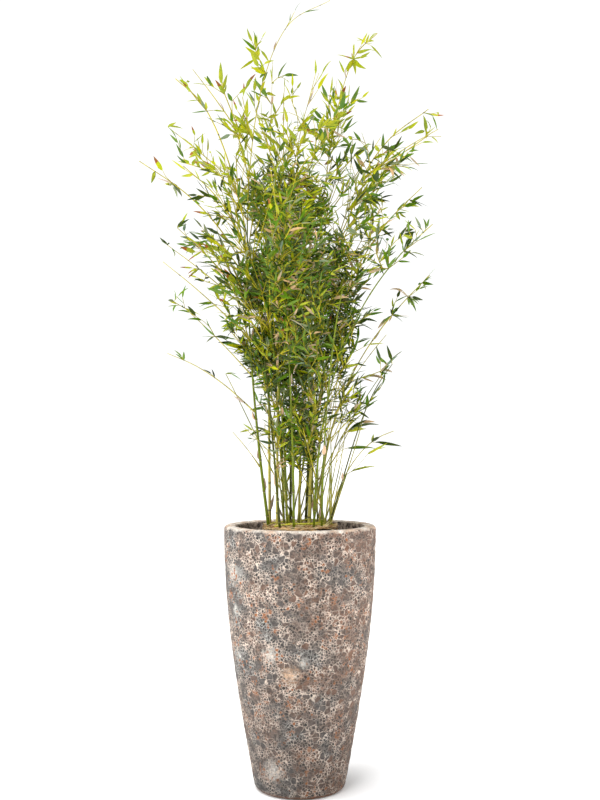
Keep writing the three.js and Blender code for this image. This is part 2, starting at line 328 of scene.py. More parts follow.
# The swirl that pushes the craters' cells out of shape: its width, and how far it moves them end to end.
SWIRL_SIZE, SWIRL_PUSH = 9 * MM, 7 * MM
# A crater wall's half width as a share of its large or small cell, for walls 2 mm wide.
COARSE_WALL, FINE_WALL = 0.055, 0.10
# The share of the large cells that are full of small craters on the pot's middle line, and how quickly it
# falls to the right, per metre.
SMALL_CRATERS, FEWER_TO_THE_RIGHT = 0.75, 0.9


def crater_field(tree, position, settings):
    """The glaze's craters at a position, in both the mesh and the shader: how far the crater walls rise, from
    0 to 1, a mask of the large craters, and the large and the small cells."""
    swirl = add(tree, "ShaderNodeTexNoise", {"Vector": position, "Scale": 1 / SWIRL_SIZE, "Detail": 3.0,
                                             "Roughness": 0.65})
    drift = add(tree, "ShaderNodeVectorMath", {0: swirl.outputs["Color"], 1: (0.5, 0.5, 0.5)},
                operation="SUBTRACT")
    place = add(tree, "ShaderNodeVectorMath", {0: drift, 1: (SWIRL_PUSH,) * 3, 2: position},
                operation="MULTIPLY_ADD")
    walls, cells = [], []
    for size, share in ((settings.coarse_cell, COARSE_WALL), (settings.fine_cell, FINE_WALL)):
        gap = add(tree, "ShaderNodeTexVoronoi", {"Vector": place, "Scale": 1 / size},
                  feature="DISTANCE_TO_EDGE")
        walls.append(add(tree, "ShaderNodeMapRange",
                         {"Value": gap, "From Min": share * 0.3, "From Max": share * 1.5,
                          "To Min": 1.0, "To Max": 0.0}, interpolation_type="SMOOTHSTEP"))
        cells.append(add(tree, "ShaderNodeTexVoronoi", {"Vector": place, "Scale": 1 / size}))
    # Some large cells are one crater each. The others are full of small ones.
    chance = add(tree, "ShaderNodeSeparateXYZ", {0: cells[0].outputs["Color"]})
    across = add(tree, "ShaderNodeSeparateXYZ", {0: position})
    chance = add(tree, "ShaderNodeMath", {0: across, 1: FEWER_TO_THE_RIGHT, 2: chance},
                 operation="MULTIPLY_ADD")
    large = add(tree, "ShaderNodeMath", {0: chance, 1: SMALL_CRATERS}, operation="GREATER_THAN")
    net = add(tree, "ShaderNodeMix", {0: large, 2: walls[1], 3: walls[0]})
    return net, large, cells


# ---- Limbs, read from the frame ----

def corners(node):
    """The corner points of a CAD node, in metres."""
    mesh = frame["nodes"][node].data
    flat = np.empty(len(mesh.vertices) * 3)
    mesh.vertices.foreach_get("co", flat)
    return flat.reshape(-1, 3)


# Corners that are closer together than this belong to the same section of a limb.
SECTION_REACH = 14 * MM


def limb_sections(node):
    """A limb's section centres and radii, foot first, from the rings of corners that its solid has."""
    left = np.unique(np.round(corners(node), 5), axis=0)
    centres, radii = [], []
    while len(left):
        near = np.linalg.norm(left - left[0], axis=1) < SECTION_REACH
        ring, left = left[near], left[~near]
        centres.append((ring.min(axis=0) + ring.max(axis=0)) / 2)
        radii.append(np.linalg.norm(ring - centres[-1], axis=1).max())
    centres, radii = np.array(centres), np.array(radii)
    order = [int(centres[:, 2].argmin())]
    while len(order) < len(centres):
        gaps = np.linalg.norm(centres - centres[order[-1]], axis=1)
        gaps[order] = np.inf
        order.append(int(gaps.argmin()))
    return centres[order], radii[order]


def smooth_line(points, values, step):
    """A smooth curve through the points, resampled about every step, with its values and its run."""
    held = np.concatenate([[2 * points[0] - points[1]], points, [2 * points[-1] - points[-2]]])
    t = np.linspace(0, 1, 24, endpoint=False)[:, None]
    spans = [0.5 * (2 * b + (c - a) * t + (2 * a - 5 * b + 4 * c - d) * t ** 2
                    + (3 * b - a - 3 * c + d) * t ** 3)
             for a, b, c, d in zip(held[:-3], held[1:-2], held[2:-1], held[3:])]
    curve = np.concatenate(spans + [points[-1:]])
    run = np.concatenate([[0], np.cumsum(np.linalg.norm(np.diff(curve, axis=0), axis=1))])
    value_at = np.interp(np.arange(len(curve)) / len(t), np.arange(len(values)), values)
    at = np.linspace(0, run[-1], max(3, int(run[-1] / step) + 1))
    line = np.stack([np.interp(at, run, curve[:, i]) for i in range(3)], axis=1)
    return line, np.interp(at, run, value_at), at


class Limb:
    """A culm or bough: its line, its radii and where its rings are."""

    def __init__(self, node, internode, rng):
        self.node = node
        self.line, self.radii, self.run = smooth_line(*limb_sections(node), 4 * MM)
        rings, at = [], rng.uniform(0.2, 0.6) * internode
        while at < self.run[-1] - 8 * MM:
            rings.append(at)
            # Internodes are short at the foot, longest a third of the way up and short at the tip.
            share = at / self.run[-1]
            at += internode * (0.6 + 0.75 * np.sin(np.pi * share ** 0.6)) * rng.uniform(0.85, 1.15)
        self.rings = np.array(rings)

    def at(self, where):
        return np.stack([np.interp(where, self.run, self.line[:, i]) for i in range(3)], axis=-1)

    def direction(self, where):
        return unit(self.at(where + 4 * MM) - self.at(where - 4 * MM))


# ---- The crown: twigs and sprays that grow on from the limbs ----

# How far apart a leaf mass's sprays are, as a share of the usual spacing, and how many blades each has.
MASS_HABITS = {
    "leaves_core_top": (1.05, 5), "leaves_core_upper": (1.0, 5), "leaves_core_lower": (0.95, 5),
    "leaves_core_foot": (0.9, 4), "leaves_core_right": (0.95, 5), "leaves_front": (1.05, 4),
    "leaves_back": (1.3, 4), "leaves_shoulder_right": (1.6, 4), "leaves_top_middle": (2.1, 2),
    "leaves_top_right": (1.5, 2), "leaves_top_left": (1.8, 2), "leaves_top_tip": (2.8, 2),
    "leaves_top_right_tip": (1.3, 2), "leaves_mid_left": (1.9, 3), "leaves_mid_left_front": (1.8, 3),
    "leaves_lower_left": (1.9, 3), "leaves_skirt_left": (2.8, 2), "leaves_mid_right": (1.8, 4),
    "leaves_mid_right_front": (1.4, 3), "leaves_skirt_right": (2.1, 3), "leaves_foot_left": (2.8, 2),
    "leaves_foot_right": (2.0, 2), "leaves_low_right": (1.6, 4), "leaves_front_left": (2.5, 2),
    "leaves_far_left": (2.5, 2), "leaves_upper_left": (1.9, 2), "leaves_plume_left": (2.4, 2),
}
USUAL_HABIT = (2.0, 2)
# Where loose sprays fill the room between the masses: two corners in mm and how many at most.
LOOSE_SPRAYS = (
    ((-150, -150, 1560), (120, 150, 1760), 50), ((40, -150, 1470), (230, 150, 1700), 35),
    ((100, -130, 1340), (250, 130, 1480), 25), ((90, -110, 1140), (220, 110, 1270), 55),
    ((110, -90, 950), (190, 90, 1060), 15), ((-290, -130, 1190), (-190, 130, 1450), 40),
    ((-190, -130, 1110), (-130, 130, 1450), 6), ((40, -100, 1070), (110, 100, 1180), 25),
    ((-110, -110, 880), (60, 100, 1070), 140), ((-110, -110, 1000), (60, 100, 1200), 60),
    ((-110, -150, 960), (90, -70, 1270), 70),
    ((-120, -240, 1080), (120, -110, 1550), 60), ((-130, 110, 1080), (110, 240, 1600), 70),
    ((120, -120, 1430), (220, 120, 1580), 25), ((-200, -110, 1150), (-140, 110, 1260), 18),
    ((-100, -210, 1520), (120, -60, 1740), 22), ((-100, 60, 1520), (120, 210, 1740), 22),
)
# A twig is drawn in steps of about this length, and its thinnest and thickest radii are these.
TWIG_STEP = 24 * MM
TWIG_TIP, TWIG_BUTT = 0.7 * MM, 1.5 * MM
# What makes a twig's start costly, against a straight way of its own length: a fork wider or narrower than
# the natural angle, a way that rises less than LEAST_RISE, and the twigs that already start there.
FORK_ANGLE, FORK_COST = 0.62, 0.9
LEAST_RISE, FALL_COST = 0.25, 1.6
CROWDING_COST = 5 * MM
# Nothing branches this close above the soil.
FIRST_BRANCH = 60 * MM
# The core's sprays thin out between these heights in metres, down to this share.
CORE_THINS, CORE_TOP_SHARE = (1.48, 1.64), 0.45


class Mass:
    """The inside of one leaf mass."""

    def __init__(self, node):
        self.node = node
        mesh = frame["nodes"][node].data
        self.shell = BVHTree.FromPolygons([v.co for v in mesh.vertices], [p.vertices for p in mesh.polygons])
        self.low, self.high = (np.array(corner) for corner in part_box(node))

    def depth(self, point):
        """How deep a point is inside the skin, in metres. It is negative outside."""
        nearest, normal, _, gap = self.shell.find_nearest(Vector(point))
        return gap if (nearest - Vector(point)).dot(normal) > 0 else -gap

    def fullness(self, point):
        """What share of its sprays the mass keeps at a point's height. Only the core thins out upwards."""
        return np.interp(point[2], CORE_THINS, (1.0, CORE_TOP_SHARE)) if "core" in self.node else 1.0

    def touches(self, point):
        """Whether a point is inside, or close enough outside for a branch."""
        is_near = (point > self.low - 20 * MM).all() and (point < self.high + 20 * MM).all()
        return bool(is_near) and self.depth(point) > -12 * MM

    def places(self, spacing, rng):
        """Seeded places inside, none closer together than the spacing."""
        tries = int(np.prod(self.high - self.low) / spacing ** 3 * 10) + 40
        kept = np.empty((0, 3))
        for candidate in rng.uniform(self.low, self.high, (tries, 3)):
            if len(kept) and np.linalg.norm(kept - candidate, axis=1).min() < spacing:
                continue
            if self.depth(candidate) > 5 * MM and rng.random() < self.fullness(candidate):
                kept = np.concatenate([kept, candidate[None]])
        return kept


class TwigTree:
    """Points that grow from the limbs' rings: straight side branches first, then twigs to the sprays."""

    def __init__(self, starts, directions, room):
        self.count = len(starts)
        self.points = np.zeros((room, 3))
        self.directions = np.zeros((room, 3))
        self.parents = np.full(room, -1)
        self.children = np.zeros(room)
        self.points[:self.count], self.directions[:self.count] = starts, directions
        self.lines = []

    def grow(self, start, places):
        """Adds a line through the places, on from a point that is there already."""
        self.children[start] += 1
        line = [start]
        for place in places:
            here = self.count
            self.points[here] = place
            self.directions[here] = unit(place - self.points[line[-1]])
            self.parents[here] = line[-1]
            line.append(here)
            self.count += 1
        self.lines.append(line)

    def reach(self, target, rng):
        """Grows a twig to the target from the point that gives it a short way and a natural fork."""
        points, directions = self.points[:self.count], self.directions[:self.count]
        way = target - points
        distance = np.maximum(np.linalg.norm(way, axis=1), 1e-5)
        way /= distance[:, None]
        fork = np.arccos(np.clip(np.einsum("ij,ij->i", way, directions), -1, 1))
        cost = (distance * (1 + FORK_COST * (fork - FORK_ANGLE) ** 2
                            + FALL_COST * np.maximum(0, LEAST_RISE - way[:, 2]))
                + CROWDING_COST * self.children[:self.count])
        start = int(cost.argmin())
        leave = unit(way[start] * 0.75 + directions[start] * 0.4)
        bend = points[start] + leave * distance[start] * 0.5
        steps = max(1, int(round(distance[start] / TWIG_STEP)))
        t = (np.arange(1, steps + 1) / steps)[:, None]
        places = (1 - t) ** 2 * points[start] + 2 * t * (1 - t) * bend + t ** 2 * target
        places[:-1] += rng.normal(0, 0.9 * MM, (steps - 1, 3))
        self.grow(start, places)

    def way_back(self, tip, reach):
        """The line from a tip back towards its limb, as long as the reach at least if it can be."""
        way, run = [tip], 0.0
        while run < reach and self.parents[way[-1]] >= 0:
            way.append(self.parents[way[-1]])
            run += np.linalg.norm(self.points[way[-1]] - self.points[way[-2]])
        return self.points[way]

    def radii(self):
        """Twigs thicken with the number of sprays they carry."""
        carried = np.zeros(self.count)
        for line in self.lines:
            carried[line[-1]] += 1
        for i in range(self.count - 1, -1, -1):
            if self.parents[i] >= 0:
                carried[self.parents[i]] += carried[i]
        return np.minimum(TWIG_TIP * np.maximum(carried, 1) ** 0.4, TWIG_BUTT)


# The room round the clump's axis that side branches may fill on their own, in metres: heights, and how far
# it reaches to the left and to the right.
ROOM = np.array([(0.80, 0.08, 0.07), (0.94, 0.09, 0.15), (1.05, 0.10, 0.13), (1.15, 0.14, 0.12),
                 (1.25, 0.18, 0.18), (1.35, 0.21, 0.22), (1.50, 0.22, 0.24), (1.60, 0.22, 0.24),
                 (1.70, 0.18, 0.23), (1.80, 0.14, 0.18), (1.95, 0.10, 0.13), (2.05, 0.05, 0.03)])


def outside_room(point):
    """How far a point is outside the clump's room."""
    left, right = (np.interp(point[2], ROOM[:, 0], ROOM[:, i]) for i in (1, 2))
    flat = np.hypot(point[0], point[1])
    lean = (point[0] / max(flat, MM) + 1) / 2
    return flat - left * (1 - lean) - right * lean


def side_branch(place, along, long, rng):
    """A straight side branch from a ring: it leans out of the clump, and its tip bends up a little."""
    outward = place * [1, 1, 0] + along * [0.05, 0.05, 0] + 1e-6
    azimuth = np.arctan2(outward[1], outward[0]) + rng.normal(0, 1.1)
    across = np.array([np.cos(azimuth), np.sin(azimuth), 0.0])
    across = unit(across - along * (across @ along))
    lean = rng.uniform(0.35, 0.8)
    heading = along * np.cos(lean) + across * np.sin(lean)
    t = np.linspace(0, 1, int(long / TWIG_STEP) + 2)[1:, None]
    return place + heading * long * t + UP * long * 0.08 * t ** 2


def thin_shoots(count, rng):
    """Thin young stems that come up between the culms and lean across them. Every third stands on the right,
    is short and leans either way."""
    shoots = []
    for i in range(count):
        is_right = i % 3 == 0
        foot = np.array([rng.uniform(62, 84), rng.uniform(-44, 30)] if is_right
                        else [rng.uniform(-50, 70), rng.uniform(-66, 60)]) * MM
        foot *= min(1, BALL_RADIUS * 0.9 / np.hypot(*foot))
        if is_right:
            lean = np.array([rng.uniform(-0.25, 0.35), rng.normal(0, 0.15)])
            long = rng.uniform(0.12, 0.27)
        else:
            lean = rng.normal(0, 0.2, 2) + foot
            long = rng.uniform(0.15, 0.5)
        t = np.linspace(0, 1, int(long / (30 * MM)) + 2)
        bend = rng.normal(0, 0.06, 2)
        flat = foot + (lean * t[:, None] + bend * t[:, None] ** 2) * long
        shoots.append(np.concatenate([flat, (SOIL - 4 * MM + long * t)[:, None]], axis=1))
    return shoots


def short_twig(place, along, rng):
    """A twig that forks off a side branch with one small spray."""
    across = unit(np.cross(along, rng.normal(size=3)))
    lean = rng.uniform(0.4, 0.8)
    long = rng.uniform(18, 55) * MM
    return place + (along * np.cos(lean) + across * np.sin(lean)) * long * np.array([[0.5], [1.0]])


def ring_starts(limbs, shoots):
    """Where twigs may start: the points, their directions, and how vigorous each is, from 0 to 1."""
    starts, directions, vigour = [], [], []
    for shoot in shoots:
        for i in range(2, len(shoot), 2):
            starts.append(shoot[i])
            directions.append(unit(shoot[i] - shoot[i - 1]))
            vigour.append(0.5)
    for limb in limbs.values():
        for where in [*limb.rings, limb.run[-1]]:
            if limb.at(where)[2] > SOIL + FIRST_BRANCH:
                starts.append(limb.at(where))
                directions.append(limb.direction(where))
                vigour.append(1 - 0.65 * where / limb.run[-1])
    return np.array(starts), np.array(directions), vigour


def spray_targets(masses, spacing, rng):
    """Where sprays are wanted, and each one's leaf mass. A loose spray's is an empty name."""
    targets, homes = [], []
    for node, mass in masses.items():
        places = mass.places(spacing * MASS_HABITS.get(node, USUAL_HABIT)[0], rng)
        targets.append(places)
        homes += [node] * len(places)
    for low, high, count in LOOSE_SPRAYS:
        places = rng.uniform(np.array(low) * MM, np.array(high) * MM, (count, 3))
        targets.append(places[[outside_room(p) < 20 * MM for p in places]])
        homes += [""] * len(targets[-1])
    return np.concatenate(targets), homes


# The chance that a ring carries 0 to 4 side branches: as usual, over the crown's middle and at its top. The
# heights are shares of the way from the soil to the tip.
BRANCH_CHANCES = {"usual": (0.1, 0.3, 0.4, 0.2, 0), "middle": (0, 0.25, 0.35, 0.3, 0.1),
                  "top": (0.3, 0.5, 0.2, 0, 0)}
BARE_BELOW, MIDDLE_FROM, MIDDLE_TO, TOP_FROM = 0.16, 0.5, 0.75, 0.8


def side_branch_count(high, is_out, rng):
    """How many side branches a ring gets. They are sparse near the ground and outside the clump's room."""
    if is_out or high < BARE_BELOW:
        return rng.integers(0, 2) * (rng.random() < (0.4 if is_out else 0.9))
    zone = "top" if high > TOP_FROM else "middle" if MIDDLE_FROM < high < MIDDLE_TO else "usual"
    return rng.choice(5, p=BRANCH_CHANCES[zone])


def grow_side_branches(tree, masses, starts, directions, vigour, rng):
    """Grows side branches from the rings, and gives each line's home: empty if it is leafy, None if bare."""
    homes = []
    low_edge, high_edge = np.array(CAD_BOX[0]) + 20 * MM, np.array(CAD_BOX[1]) - 20 * MM
    for start in range(len(starts)):
        high = (starts[start][2] - SOIL) / (CAD_BOX[1][2] - SOIL)
        for _ in range(side_branch_count(high, outside_room(starts[start]) > 0, rng)):
            long = rng.uniform(90, 290) * MM * vigour[start]
            places = side_branch(starts[start], directions[start], long, rng)
            is_inside = ((places > low_edge) & (places < high_edge)).all(axis=1)
            has_room = [outside_room(p) < 0 or any(m.touches(p) for m in masses.values()) for p in places]
            places = places[np.logical_and.accumulate(is_inside & has_room)]
            if not len(places):
                continue
            tree.grow(start, places)
            is_leafy = rng.random() < np.clip((high - 0.1) * 6, 0.05, 1)
            homes.append("" if is_leafy else None)
            line = tree.lines[-1]
            twig_gap = (60 if high > MIDDLE_TO else 42) * MM
            for _ in range(int(long / twig_gap) if is_leafy else 0):
                fork = line[rng.integers(max(1, len(line) // 3), len(line))]
                tree.grow(fork, short_twig(tree.points[fork], tree.directions[fork], rng))
                homes.append("")
    return homes


def grow_bare_branches(tree, starts, directions, rng):
    """Grows long bare branches that cross the core, and gives each line's home, which is None."""
    homes = []
    for start in np.flatnonzero((starts[:, 2] > 1.1) & (starts[:, 2] < 1.6)):
        for _ in range(rng.integers(0, 5)):
            places = side_branch(starts[start], directions[start], rng.uniform(150, 340) * MM, rng)
            places = places[np.logical_and.accumulate([outside_room(p) < -10 * MM for p in places])]
            if len(places) > 2:
                tree.grow(start, places)
                homes.append(None)
    return homes


# Sprays fill the masses with these words in their names evenly. In the other masses they keep close to their
# limbs, with sky between: their gap to the nearest limb or branch is cut to this share.
EVEN_MASSES = ("core", "front", "back", "middle")
CLOSER = 0.6


@lru_cache(maxsize=1)
def grow_crown():
    """The limbs, the twig tree, each line's leaf mass, the masses and the thin shoots. A spray between the
    masses has an empty name, and a bare twig None. It is seeded, so each call gets the same."""
    rng = np.random.default_rng(CROWN_SEED)
    leaf = bpy.context.scene.bamboo_leaf
    limbs = {n: Limb(n, bpy.context.scene.bamboo_cane.internode, rng) for n in CULM_NODES + BOUGH_NODES}
    masses = {n: Mass(n) for n in MASS_NODES}
    shoots = thin_shoots(leaf.shoots, rng)
    starts, directions, vigour = ring_starts(limbs, shoots)
    targets, target_homes = spray_targets(masses, leaf.spacing, rng)
    # Room enough for the points of the side branches, and of the twigs that reach the sprays.
    tree = TwigTree(starts, directions, len(starts) * 60 + len(targets) * 12)
    homes = grow_side_branches(tree, masses, starts, directions, vigour, rng)
    homes += grow_bare_branches(tree, starts, directions, rng)

    limb_points = tree.points[:tree.count]
    for i, home in enumerate(target_homes):
        if home and not any(word in home for word in EVEN_MASSES):
            near = limb_points[np.linalg.norm(limb_points - targets[i], axis=1).argmin()]
            targets[i] = near + (targets[i] - near) * CLOSER
    gaps = np.array([np.linalg.norm(limb_points - t, axis=1).min() for t in targets])
    order = gaps.argsort(kind="stable")
    for target in targets[order]:
        tree.reach(target, rng)
    return limbs, tree, homes + [target_homes[i] for i in order], masses, shoots


# ---- Blades ----

# A blade's outline: shares of its length, and of its width there.
BLADE_ROWS = ((0.07, 0.50), (0.26, 1.0), (0.54, 0.82), (0.80, 0.42))
BLADE_THICKNESS = 0.35 * MM


def blade_template():
    """One blade's points as (along, across, lift, under) shares, and its faces by side, base to tip."""
    points = [(0, 0, 0, 0), (1, 0, 0, 0)]
    for along, width in BLADE_ROWS:
        points += [(along, -width / 2, 0, 0), (along, 0, -width / 2, 0), (along, width / 2, 0, 0),
                   (along, 0, -width / 2, 1)]
    faces, sides, shares = [], [], []
    rows = len(BLADE_ROWS)
    for side in (0, 1):
        for row in range(-1, rows):
            low, high = 2 + 4 * row, 6 + 4 * row
            left_low, mid_low, right_low = low, low + (1 if side == 0 else 3), low + 2
            left_high, mid_high, right_high = high, high + (1 if side == 0 else 3), high + 2
            if row == -1:
                new = [(0, mid_high, left_high), (0, right_high, mid_high)]
            elif row == rows - 1:
                new = [(1, left_low, mid_low), (1, mid_low, right_low)]
            else:
                new = [(left_low, mid_low, mid_high), (left_low, mid_high, left_high),
                       (mid_low, right_low, right_high), (mid_low, right_high, mid_high)]
            if side == 1:
                new = [f[::-1] for f in new]
            faces += new
            sides += [side] * len(new)
            shares += [row] * len(new)
    return np.array(points, dtype=float), np.array(faces), np.array(sides), np.array(shares)


def blade_edges():
    """Which pairs of the template's points lie on the outline."""
    last = 2 + 4 * (len(BLADE_ROWS) - 1)
    pairs = [(0, 2), (0, 4), (1, last), (1, last + 2)]
    for row in range(len(BLADE_ROWS) - 1):
        low = 2 + 4 * row
        pairs += [(low, low + 4), (low + 2, low + 6)]
    table = np.zeros((2 + 4 * len(BLADE_ROWS),) * 2, dtype=bool)
    for a, b in pairs:
        table[a, b] = table[b, a] = True
    return table


def lay_blades(rows):
    """Blades' points from rows of base, direction, normal, length, width, fold and curl. Each blade bends
    back along its length by its curl and is folded along its midrib."""
    bases, directions, normals = rows[:, :3], rows[:, 3:6], rows[:, 6:9]
    lengths, widths, folds, curls = rows[:, 9:13].T
    template = blade_template()[0]
    axes = axes_for(directions, normals)
    along = template[None, :, 0] * lengths[:, None]
    across = template[None, :, 1] * widths[:, None]
    lift = template[None, :, 2] * (widths * folds)[:, None] - template[None, :, 3] * BLADE_THICKNESS
    lift = lift - curls[:, None] * lengths[:, None] * template[None, :, 0] ** 2
    along = along * (1 - 0.6 * (curls[:, None] * template[None, :, 0]) ** 2)
    local = np.stack([along, across, lift], axis=2)
    return np.einsum("nvk,nkj->nvj", local, axes) + bases[:, None]


def add_blades(name, materials, points, tip_from=None, replaced=()):
    """A piece of many blades: upper side in slot 0, underside in slot 1, and scorched tips in slot 2."""
    _, faces, sides, shares = blade_template()
    slots = sides.copy()
    if tip_from is not None:
        slots[shares >= tip_from] = 2
    count, size = points.shape[:2]
    all_faces = (faces[None] + (np.arange(count) * size)[:, None, None]).reshape(-1, 3)
    piece = add_piece(name, points.reshape(-1, 3), [all_faces], materials, np.tile(slots, count),
                      replaced=replaced)
    mesh = piece.data
    ends = np.empty(len(mesh.edges) * 2, dtype=np.int32)
    mesh.edges.foreach_get("vertices", ends)
    ends = ends.reshape(-1, 2) % size
    sharp = mesh.attributes.new("sharp_edge", "BOOLEAN", "EDGE")
    sharp.data.foreach_set("value", blade_edges()[ends[:, 0], ends[:, 1]])
    return piece


# Shares of the sprays of each kind: in the top, in the outer crown, and in the core, which is brightest near
# its top and driest low on the right. The core's rows hold more deep blades as painted shade, most of all low
# on the right, and the core's row is laid on most of the right side as the same painted shade.
KINDS = ("bright", "fresh", "deep", "silver", "rust", "dry")
DRY = KINDS.index("dry")
KIND_SHARES = {
    "top": (0.72, 0.16, 0.01, 0.04, 0.07, 0.0),
    "outer": (0.25, 0.41, 0.22, 0.07, 0.05, 0.0),
    "upper_core": (0.29, 0.43, 0.12, 0.09, 0.02, 0.05),
    "core": (0.16, 0.38, 0.30, 0.08, 0.01, 0.07),
    # Low on the right of the core: real dry blades, and more deep blades as painted shade.
    "dry_and_shaded": (0.16, 0.28, 0.41, 0.04, 0.02, 0.09),
}
# The chance that a blade is of another kind than its spray.
STRAY_KIND = 0.3
# The column of a blade's row that holds its kind.
KIND_COLUMN = 13
# The core's half width and top, in metres.
CORE_RADIUS, CORE_TOP = 0.15, 1.66
# Blades by zone: their length and width as shares of the usual, the gap between them in mm, how far those at
# a spray's sides stand out as a share of the most, and how far they droop.
BLADE_HABITS = {
    "core": (0.74, 0.8, (7, 12), 1, (0, 0.4)),
    "top": (0.95, 1.05, (18, 32), 1, (-0.4, 0.2)),
    "outer": (0.86, 1.0, (10, 20), 0.6, (0, 0.4)),
}
# Low on the right the blades are long, slim and in pairs, and reach outwards.
LOW_LENGTH, LOW_WIDTH, LOW_REACH = 1.5, 0.62, (0.45, 0, 0.2)
DRY_DROOP, DRY_CURL = (0.4, 1.3), 1.6
SHORTEST_BLADE, LONGEST_BLADE = 20 * MM, 78 * MM
# How far a blade may reach past its leaf mass before it is turned back towards it, and how often it is.
BLADE_OVERHANG, TURNED_BACK = 12 * MM, 0.85
# The chance that a blade which shows its underside from above is turned over.
TURNED_OVER = 0.8


def zones(tip, rng):
    """Where a spray is: its row of KIND_SHARES, its row of BLADE_HABITS, and whether it is low on the right.
    The borders of the top and of the upper core are uneven, and most of the right side is in shade, painted
    by giving it the core's darker row."""
    is_core = abs(tip[0]) < CORE_RADIUS and tip[2] < CORE_TOP
    is_low = tip[2] < SOIL + 0.27 and tip[0] > 0.10
    is_dry_and_shaded = is_core and tip[2] < 1.3 and tip[0] > -0.03
    # Painted shade: the core and most of the right side take the core's darker rows of kinds.
    is_shaded = is_core or (tip[0] > 0.08 and tip[2] < 1.7 and rng.random() < 0.8)
    is_top = not is_core and tip[2] > 1.58 + rng.normal(0, 0.04)
    is_high = is_core and tip[2] > 1.44 + rng.normal(0, 0.08)
    shares = ("outer" if is_low else "dry_and_shaded" if is_dry_and_shaded else "upper_core" if is_high
              else "core" if is_shaded else "top" if is_top else "outer")
    return shares, "core" if is_core else "top" if is_top else "outer", is_low


@lru_cache(maxsize=1)
def sprays_of_blades():
    """Every blade's base, direction, normal, length, width, fold, curl and kind."""
    rng = np.random.default_rng(BLADE_SEED)
    leaf = bpy.context.scene.bamboo_leaf
    _, tree, homes, masses, _ = grow_crown()
    low_edge, high_edge = np.array(CAD_BOX[0]) - 8 * MM, np.array(CAD_BOX[1]) + 8 * MM
    rows = []
    for line, home in zip(tree.lines, homes):
        if home is None:
            continue
        shares_name, zone, is_low = zones(tree.points[line[-1]], rng)
        shares = KIND_SHARES[shares_name]
        length_share, width_share, gaps, side_share, droops = BLADE_HABITS[zone]
        kind = rng.choice(len(KINDS), p=shares)
        count = (MASS_HABITS.get(home, USUAL_HABIT)[1] if home else 2) + rng.integers(-1, 2)
        count = 2 if is_low else max(1 if zone == "top" else 2, count)
        if is_low:
            length_share, width_share = LOW_LENGTH, LOW_WIDTH
        gap = rng.uniform(*gaps) * MM
        way = tree.way_back(line[-1], gap * count)
        run = np.concatenate([[0], np.cumsum(np.linalg.norm(np.diff(way, axis=0), axis=1))])
        back = np.minimum(np.arange(count) * gap, run[-1] * 0.97)
        bases = np.stack([np.interp(back, run, way[:, i]) for i in range(3)], axis=1)
        before = np.stack([np.interp(back + 8 * MM, run, way[:, i]) for i in range(3)], axis=1)
        headings = unit(bases - before + (way[0] - way[1]) * 0.02)
        side = unit(np.cross(headings[0], UP + rng.normal(0, 0.8, 3)))
        for k in range(count):
            spread = (rng.normal(0, 0.15) if k == 0
                      else rng.uniform(0.4, 0.95) * (1 if k % 2 else -1) * side_share)
            direction = headings[k] * np.cos(spread) + side * np.sin(spread)
            droop = rng.uniform(*(DRY_DROOP if kind == DRY else droops))
            direction = unit(direction + rng.normal(0, 0.16, 3) - UP * droop * 0.5)
            if is_low:
                direction = unit(direction + LOW_REACH)
            long = rng.normal(leaf.blade_length * length_share, 7 * MM)
            long = np.clip(long, SHORTEST_BLADE, LONGEST_BLADE)
            end = bases[k] + direction * long
            if home and masses[home].depth(end) < -BLADE_OVERHANG and rng.random() < TURNED_BACK:
                nearest = masses[home].shell.find_nearest(Vector(end))[0]
                direction = unit(unit(np.array(nearest) - bases[k]) * 0.8 + direction * 0.4)
                end = bases[k] + direction * long
            if (end < low_edge).any() or (end > high_edge).any():
                continue
            normal = unit(unit(np.cross(side, direction)) + rng.normal(0, 0.62, 3))
            if normal[2] < -0.1 and rng.random() < TURNED_OVER:
                normal = -normal
            width = long * leaf.blade_width * width_share * rng.uniform(0.8, 1.2)
            blade_kind = rng.choice(len(KINDS), p=shares) if rng.random() < STRAY_KIND else kind
            rows.append((*bases[k], *direction, *normal, long, width, rng.uniform(0.05, 0.4),
                         rng.uniform(-0.02, 0.36) * (DRY_CURL if blade_kind == DRY else 1), blade_kind))
    return np.array(rows)


# ---- Materials ----

# Patches where the glaze ran thick or burned: place in mm, radius in mm, and the tint's setting.
GLAZE_PATCHES = (
    ((-23, -166, 331), 24, "peach_tint"), ((-40, -180, 560), 10, "peach_tint"),
    ((-166, -103, 575), 30, "pale_tint"), ((-165, -98, 478), 16, "pale_tint"),
    ((-73, -162, 378), 24, "pale_tint"), ((-160, -80, 361), 20, "pale_tint"),
    ((-76, -120, 72), 34, "pale_tint"), ((10, -171, 362), 14, "pale_tint"),
    ((120, 130, 420), 34, "pale_tint"), ((60, 170, 250), 26, "peach_tint"),
)


def shaded_by(tree, surface, value, low, high, at_low, at_high):
    """Darkens and lightens a surface by factors, as a value goes from low to high."""
    factor = add(tree, "ShaderNodeMapRange", {"Value": value, "From Min": low, "From Max": high,
                                              "To Min": at_low, "To Max": at_high})
    return add(tree, "ShaderNodeVectorMath", {0: surface, "Scale": factor}, operation="SCALE")


def laid_over(tree, surface, coat, value, low, high, at_low=0.0, at_high=1.0):
    """Lays a coat over a surface by shares, as a value goes from low to high."""
    share = add(tree, "ShaderNodeMapRange", {"Value": value, "From Min": low, "From Max": high,
                                             "To Min": at_low, "To Max": at_high})
    return add(tree, "ShaderNodeMix", {0: share, 6: surface, 7: coat}, data_type="RGBA")


